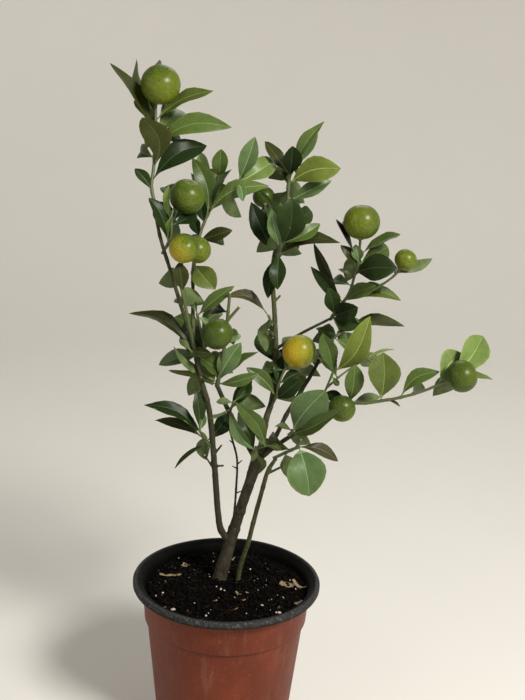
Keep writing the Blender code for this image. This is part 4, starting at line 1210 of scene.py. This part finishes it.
class TREE_OT_wood(bpy.types.Operator):
    """Model the trunk, stems and boughs as one skin with the bark's relief, with their pruned stubs"""

    bl_idname = "tree.wood"
    bl_label = "Trunk and boughs"

    def execute(self, context):
        sizes = settings().sizes
        limbs = {name: ways for name, ways in LIMBS.items() if name != DEAD_LIMB}
        samples = [knotty(sampled(ways, LIMB_STEP), list(LIMBS).index(name))
                   for name, ways in limbs.items()]
        gathering, ends = Gathering(), Gathering()
        for limb in samples:
            gathering.add(*tube(limb, LIMB_SIDES))
        for stub in STUBS:
            gathering.add(*tube(stub_samples(stub), STUB_SIDES))
            add_cut_end(ends, stub_samples(stub))
        bark = bark_finish(color_of("bark_grey"), color_of("bark_brown"), color_of("bark_green"))
        wood = gathering.build("trunk_and_boughs", [bark], "bark")
        skin = wood.modifiers.new("skin", "REMESH")
        skin.mode = "VOXEL"
        skin.voxel_size = sizes.voxel
        skin.use_smooth_shade = True
        even = wood.modifiers.new("even", "SMOOTH")
        even.factor = SKIN_SMOOTHING
        even.iterations = SKIN_PASSES
        finish_modifiers(wood)
        carve_bark(wood, samples, sizes.bark_relief, [PAINTED_SHADE_LIMBS.get(name, 0.0) for name in limbs])
        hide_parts(*[name for name in LIMBS if name != DEAD_LIMB])
        ends.build("cut_ends", [cut_wood_finish("cut_wood")], "bark")
        return {"FINISHED"}


def stub_samples(stub):
    """Samples of a stub, from its foot in the limb to its cut end."""
    foot, tip, radius = stub
    return sampled([(*foot, radius * STUB_FLARE), (*tip, radius)], STUB_STEP)


def rosette(centre, out, rays, top, foot):
    """A small closed shape, round or starred: a ring of rays about an axis, closed by a point at each end."""
    across = out.orthogonal().normalized()
    over = out.cross(across)
    count = len(rays)
    ring = []
    for k, (far, rise) in enumerate(rays):
        turn = 2 * math.pi * k / count
        ring.append(centre + (across * math.cos(turn) + over * math.sin(turn)) * far + out * rise)
    faces = [[0, 1 + k, 1 + (k + 1) % count] for k in range(count)]
    faces += [[count + 1, 1 + (k + 1) % count, 1 + k] for k in range(count)]
    return [centre + out * top, *ring, centre + out * foot], faces


def add_cut_end(ends, ways):
    """A pale disc just proud of the end of a stub."""
    tip, radius = ways[-1].xyz, ways[-1].w
    ahead = (tip - ways[-2].xyz).normalized()
    ends.add(*rosette(tip, ahead, [(radius * 1.02, 0)] * CUT_RING, radius * 0.55, radius * -0.3))


class TREE_OT_dead_twig(bpy.types.Operator):
    """Model the dry twig between the stems, with its broken side stubs"""

    bl_idname = "tree.dead_twig"
    bl_label = "Dead twig"

    def execute(self, context):
        samples = sampled(LIMBS[DEAD_LIMB], STUB_STEP)
        gathering = Gathering()
        gathering.add(*tube(knotty(samples, 3), STUB_SIDES))
        source = random.Random(TWIG_SEED)
        for share, clock in DEAD_STUBS:
            foot = place_on(samples, share)
            out = across_view(clock) + TOWARDS * source.uniform(-0.3, 0.5)
            tip = foot + out * source.uniform(3, 5) * MM
            ways = [Vector((*foot, 0.7 * MM)), Vector((*tip, 0.35 * MM))]
            gathering.add(*tube(smooth_path(ways, FINE_STEP * MM), TWIG_SIDES))
        twig = gathering.build("dead_twig_bark", [dry_wood_finish(color_of("dry_wood"))], "dry_wood")
        for vertex, normal in zip(twig.data.vertices, [v.normal.copy() for v in twig.data.vertices]):
            vertex.co += normal * rough(vertex.co, 1.4) * 0.12 * MM
        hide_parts(DEAD_LIMB)
        return {"FINISHED"}


def shoot_samples(shoot, step, order):
    """A shoot's samples; the first shoot of a mass starts a little inside the limb that carries it."""
    first, last = shoot.radii
    path = [Vector(way) for way in shoot.path]
    if order == 0:
        path[0] = path[0] + (path[0] - path[1]).normalized() * ROOTED
    taper = [first + (last - first) * i / (len(path) - 1) for i in range(len(path))]
    return sampled([(*way, radius) for way, radius in zip(path, taper)], step)


def seeded_leaves(shoot, source):
    """Leaves by the source's rule: each stands a golden angle further round than the one below."""
    start = source.uniform(0, 360)
    rows = []
    for k in range(shoot.seeded):
        share = SEEDED_START + SEEDED_SPAN * (k + source.random()) / shoot.seeded
        lean = source.uniform(shoot.back, shoot.front)
        length = source.uniform(*SEEDED_LENGTH)
        rows.append((share, start + GOLDEN_ANGLE * k, length * math.cos(math.radians(lean)), lean,
                     source.uniform(-SEEDED_SPIN, SEEDED_SPIN), source.uniform(*SEEDED_WIDTH)))
    return rows


def young_leaves(shoot, looks):
    """The small new leaves at the tip of a shoot that bears no fruit and wasn't cut."""
    if shoot.fruit or shoot.cut:
        return []
    turn = looks.uniform(0, 360)
    return [(looks.uniform(0.90, 0.99), turn + GOLDEN_ANGLE * k, looks.uniform(*YOUNG_LENGTH),
             looks.uniform(-YOUNG_TURN, YOUNG_TURN), looks.uniform(-YOUNG_TURN, YOUNG_TURN),
             looks.uniform(*SEEDED_WIDTH), looks.choice(YOUNG_TONES)) for k in range(YOUNG_LEAVES)]


def blade_half_width(share, width, plump):
    """Half of a leaf's width at a share of its length: a thin stalk, then an oval."""
    stalk = STALK_HALF_WIDTH * MM
    if share <= STALK_SHARE:
        return stalk
    along = (share - STALK_SHARE) / (1 - STALK_SHARE)
    fullness = 1.08 - 0.55 * plump
    lean = 0.8 + 1.1 * plump if plump < ROUND else 1.1
    return stalk * 0.6 * (1 - along) + (width / 2) * math.sin(math.pi * along ** lean) ** fullness


def leaf_shape(foot, row, face_up, looks):
    """A leaf as a thin closed blade, folded, arched and twisted: rings of six points above and one below."""
    sizes = settings().sizes
    clock, reach, lean, spin, plump = row[1:6]
    lean, spin = math.radians(lean), math.radians(spin)
    length = reach * MM / math.cos(lean)
    axis = across_view(clock) * math.cos(lean) + TOWARDS * math.sin(lean)
    faced = (TOWARDS - axis * axis.dot(TOWARDS)).normalized()
    face = faced * math.cos(spin) + faced.cross(axis) * math.sin(spin)
    turned = face.z < 0 if face_up else row[6:7] == (UNDERSIDE,)
    if turned:
        face = -face
    fold = sizes.leaf_fold * looks.uniform(0.5, 1.5)
    camber = sizes.leaf_camber * looks.uniform(0.5, 1.5)
    curl = sizes.leaf_curl * looks.uniform(-0.4, 1.5)
    twist = sizes.leaf_twist * looks.uniform(-1, 1)
    bow = row[7] if len(row) > 7 else looks.uniform(-0.06, 0.06)
    if turned:
        bow = -bow
    if not face_up:
        camber *= math.cos(spin)
        curl *= math.cos(spin)
    waves, phase, depth = looks.uniform(1.2, 2.6), looks.random(), looks.uniform(0.004, 0.020)
    chance = looks.random()

    def middle_at(share):
        rise = camber * math.sin(math.pi * share) - curl * max(0.0, share - CURL_START) ** 2
        aside = axis.cross(face) * bow * math.sin(math.pi * share)
        return foot + (axis * share + face * rise + aside) * length

    points, values = [], []
    for share in LEAF_STATIONS[:-1]:
        half = blade_half_width(share, length * plump, plump)
        on_stalk = share < STALK_SHARE
        turn = Matrix.Rotation(twist * (share - UNTWISTED), 3, axis)
        up, right = turn @ face, turn @ axis.cross(face)
        middle = middle_at(share)
        thick = (STALK_HALF_WIDTH * 1.2 if on_stalk else sizes.leaf_thickness / MM) * MM
        rib = min(half * 0.5, (RIB_HALF_WIDTH[0] + (RIB_HALF_WIDTH[1] - RIB_HALF_WIDTH[0]) * share) * MM)
        bulge = 0.0 if on_stalk else BLADE_BULGE * half
        for s in (-half, -half * INNER_ROW, -rib, rib, half * INNER_ROW, half):
            out = abs(s) / half
            ripple = 2 * math.pi * (waves * share + phase) + (1.5 if s > 0 else 0)
            wave = 0.0 if on_stalk else math.sin(ripple)
            lift = fold * abs(s) + bulge * (1 - (2 * out - 1) ** 2) + depth * length * out * wave
            points.append(middle + right * s + up * lift)
            vein = (share * length - abs(s) * VEIN_RISE) / (VEIN_SPACING * MM) + (0.5 if s > 0 else 0.0)
            values.append((vein, out, chance))
        points.append(middle - up * thick)
        values.append((0.0, 0.0, chance))
    points.append(middle_at(1.0))
    values.append((length / (VEIN_SPACING * MM), 1.0, chance))
    tip = len(points) - 1
    faces, kinds = [[*reversed(range(RING))]], [1]
    for i in range(len(LEAF_STATIONS) - 1):
        for k in range(RING):
            a, b = i * RING + k, i * RING + (k + 1) % RING
            last = i == len(LEAF_STATIONS) - 2
            faces.append([a, b, tip] if last else [a, b, b + RING, a + RING])
            kinds.append(1 if k == 2 or LEAF_STATIONS[i] < STALK_SHARE * 0.9 else 0 if k < 5 else 2)
    return points, faces, kinds, values


def foliage():
    """Every shoot of every mass, with its leaf rows: those that show, those by rule and the young ones."""
    for number, (name, shoots) in enumerate(MASSES.items()):
        source, looks = random.Random(number), random.Random(LOOKS_SEED + number)
        for order, shoot in enumerate(shoots):
            samples = shoot_samples(shoot, TWIG_STEP, order)
            rows = [(row, False) for row in shoot.leaves]
            rows += [((*row, looks.choice(SEEDED_TONES)), True) for row in seeded_leaves(shoot, source)]
            rows += [(row, True) for row in young_leaves(shoot, looks)]
            yield name, order, shoot, samples, rows, looks


class TREE_OT_twigs(bpy.types.Operator):
    """Grow the green twigs, swollen where leaves leave them, with buds and a few thorns"""

    bl_idname = "tree.twigs"
    bl_label = "Twigs"

    def execute(self, context):
        twigs, buds, ends = Gathering(), Gathering(), Gathering()
        crumb = crumb_shape()
        for stub in GREEN_STUBS:
            twigs.add(*tube(stub_samples(stub), TWIG_SIDES))
            add_cut_end(ends, stub_samples(stub))
        for _, _, shoot, samples, rows, looks in foliage():
            if shoot.cut:
                add_cut_end(ends, samples)
            total = sum((b.xyz - a.xyz).length for a, b in zip(samples, samples[1:]))
            swollen = []
            for run, sample in walk(samples):
                swell = sum(math.exp(-((run - row[0] * total) / (NODE_REACH * MM)) ** 2) for row, _ in rows)
                swollen.append(Vector((*sample.xyz, sample.w * (1 + NODE_SWELL * min(1.5, swell)))))
            twigs.add(*tube(swollen, TWIG_SIDES))
            for row, _ in rows:
                foot, lean = place_on(samples, row[0]), math.radians(row[3])
                out = across_view(row[1]) * math.cos(lean) + TOWARDS * math.sin(lean)
                bud = foot + (out * 0.5 + UP * 0.9).normalized() * 1.1 * MM
                buds.add([bud + p * looks.uniform(*BUD_SIZE) * MM for p in crumb[0]], crumb[1])
                if looks.random() < THORNY:
                    point = (out + UP * looks.uniform(0.3, 1.2)).normalized()
                    tip = foot + point * looks.uniform(3.0, 5.5) * MM
                    ways = (foot, foot.lerp(tip, 0.6), tip)
                    thorn = [Vector((*way, radius * MM)) for way, radius in zip(ways, THORN_RADII)]
                    twigs.add(*tube(thorn, THORN_SIDES))
        green = twig_finish(color_of("twig"))
        piece = twigs.build("green_twigs", [green], "foliage")
        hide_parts(*MASSES)
        buds.build("leaf_buds", [green], "foliage")
        ends.build("twig_cut_ends", [cut_wood_finish("cut_twig")], "foliage")
        return {"FINISHED"}


class TREE_OT_leaves(bpy.types.Operator):
    """Grow the leaves on their twigs, each tone joined into one piece"""

    bl_idname = "tree.leaves"
    bl_label = "Leaves"

    def execute(self, context):
        tones = {code: Gathering() for code in LEAF_TONES}
        for _, _, _, samples, rows, looks in foliage():
            for row, by_rule in rows:
                tone = UNDERSIDE_TONE if row[6] == UNDERSIDE else row[6]
                tones[tone].add(*leaf_shape(place_on(samples, row[0]), row, by_rule, looks))
        underside = underside_finish(color_of("underside"))
        for code, gathering in tones.items():
            name, color, roughness = LEAF_TONES[code]
            finishes = [leaf_finish(name, color, roughness), midrib_finish(name, color), underside]
            gathering.build("leaves_" + name, finishes, "foliage", "leaf", LEAF_CREASE)
        return {"FINISHED"}


def peel():
    """A fruit of radius 1 with its blossom end up: a little flat, and dimpled at both ends."""
    bpy.ops.mesh.primitive_uv_sphere_add(segments=PEEL_SIDES, ring_count=PEEL_RINGS, radius=1)
    fruit = bpy.context.object
    for vertex in fruit.data.vertices:
        spread = math.hypot(vertex.co.x, vertex.co.y)
        dimple = 0.05 * math.exp(-(spread / 0.20) ** 2) + 0.03 * math.exp(-(spread / 0.5) ** 2)
        vertex.co.z *= 0.965 - dimple
    return fruit


def star(place, out, radius, lobes, depth):
    """A small closed star lying on a fruit, as points and faces."""
    rays = [(radius, depth - radius * 0.28), (radius * 0.55, depth - radius * 0.05)] * lobes
    return rosette(place, out, rays, depth * 1.6, radius * -0.7)


class TREE_OT_fruit(bpy.types.Operator):
    """Model the fruits, each as ripe as it is on its own side, with calyx and blossom scar"""

    bl_idname = "tree.fruit"
    bl_label = "Fruit"

    def execute(self, context):
        pick()
        pattern = peel()
        ends = Gathering()
        fruits = []
        for name, order, shoot, samples, _, _ in foliage():
            if not shoot.fruit:
                continue
            clock, off, mean, change, ripe_clock = FRUIT_LOOKS[name, order]
            blossom = across_view(clock) * off + TOWARDS * math.sqrt(1 - off * off)
            ripest = (across_view(ripe_clock) + TOWARDS * 0.35).normalized()
            centre, radius = samples[-1].xyz, shoot.fruit / 2 * MM
            fruit = pattern.copy()
            fruit.data = pattern.data.copy()
            bpy.context.scene.collection.objects.link(fruit)
            turn = blossom.to_track_quat("Z", "Y").to_matrix().to_4x4()
            fruit.data.transform(Matrix.Translation(centre) @ turn @ Matrix.Scale(radius, 4))
            ripeness = [mean + change * (v.co - centre).dot(ripest) / radius for v in fruit.data.vertices]
            fruit.data.attributes.new("ripeness", "FLOAT", "POINT").data.foreach_set("value", ripeness)
            fruits.append(fruit)
            stalk = (samples[-2].xyz - samples[-1].xyz).normalized()
            foot = centre + stalk * radius * 0.97
            ends.add(*star(foot, stalk, 0.17 * radius + 1.1 * MM, 5, 0.35 * MM))
            ends.add(*star(centre + blossom * radius * 0.925, blossom, 0.75 * MM, 4, 0.12 * MM))
        bpy.data.objects.remove(pattern)
        pick(*fruits)
        bpy.ops.object.join()
        joined = bpy.context.object
        joined.name = joined.data.name = "fruits"
        joined.data.shade_smooth()
        paint(joined, fruit_finish(color_of("unripe"), color_of("ripe")))
        dress(joined)
        ends.build("fruit_ends", [calyx_finish()], "foliage")
        return {"FINISHED"}


def add_lamp(name, place, size, power, color):
    """A soft square lamp at a place, turned to the tree."""
    bpy.ops.object.light_add(type="AREA", location=place)
    lamp = bpy.context.object
    lamp.name = name
    lamp.data.size = size
    lamp.data.energy = power
    lamp.data.color = color
    lamp.rotation_euler = (Vector(LIT_PLACE) - Vector(place)).to_track_quat("-Z", "Y").to_euler()


class TREE_OT_stage(bpy.types.Operator):
    """Set the pale floor, the soft studio light and the camera at the photograph's angle"""

    bl_idname = "tree.stage"
    bl_label = "Floor, light and camera"

    def execute(self, context):
        floor = add_disc("floor", FLOOR_SIDES, *SWEEP[0])
        bpy.ops.mesh.region_to_loop()
        draw_out(SWEEP)
        end_edit(inside=True)
        floor.data.shade_smooth()
        paint(floor, floor_finish(color_of("floor")))
        floor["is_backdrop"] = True
        for name, lamp in LAMPS.items():
            add_lamp(name, *lamp)
        world = bpy.data.worlds.new("studio")
        context.scene.world = world
        world.use_nodes = True
        sky = world.node_tree.nodes["Background"].inputs
        sky["Color"].default_value = SKY_COLOR
        sky["Strength"].default_value = SKY_STRENGTH
        bpy.ops.object.camera_add()
        camera = bpy.context.object
        camera.name = "photo_camera"
        camera.data.lens = VIEW_LENS
        camera.data.clip_start = 0.01
        place = Matrix((RIGHT, UP, TOWARDS)).transposed().to_4x4()
        place.translation = Vector(VIEW_PLACE)
        camera.matrix_world = place
        context.scene.camera = camera
        context.scene.view_settings.view_transform = "Standard"
        return {"FINISHED"}


class TREE_PT_panel(bpy.types.Panel):
    """The potted tree's pieces, sizes and colours"""

    bl_idname = "TREE_PT_panel"
    bl_label = "Potted tree"
    bl_space_type = "VIEW_3D"
    bl_region_type = "UI"
    bl_category = "Tree"

    def draw(self, context):
        for operator in PIECES:
            self.layout.operator(operator.bl_idname)
        tree = settings()
        for group in (tree.sizes, tree.colors):
            box = self.layout.box()
            for name in group.bl_rna.properties.keys():
                if name not in ("rna_type", "name"):
                    box.prop(group, name)


PIECES = (TREE_OT_pot, TREE_OT_soil, TREE_OT_litter, TREE_OT_wood, TREE_OT_dead_twig, TREE_OT_twigs,
          TREE_OT_leaves, TREE_OT_fruit, TREE_OT_stage)
CLASSES = (TreeSizes, TreeColors, TreeSettings, *PIECES, TREE_PT_panel)


def register():
    for cls in CLASSES:
        bpy.utils.register_class(cls)
    bpy.types.Scene.potted_tree = PointerProperty(type=TreeSettings)


def unregister():
    del bpy.types.Scene.potted_tree
    for cls in reversed(CLASSES):
        bpy.utils.unregister_class(cls)


def main():
    register()
    for operator in PIECES:
        group, name = operator.bl_idname.split(".")
        getattr(getattr(bpy.ops, group), name)()
    boxes = {"cad": CAD_BOX, "visual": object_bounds()}
    {name: [list(map(float, corner)) for corner in box] for name, box in boxes.items()}


if __name__ == "__main__":
    main()
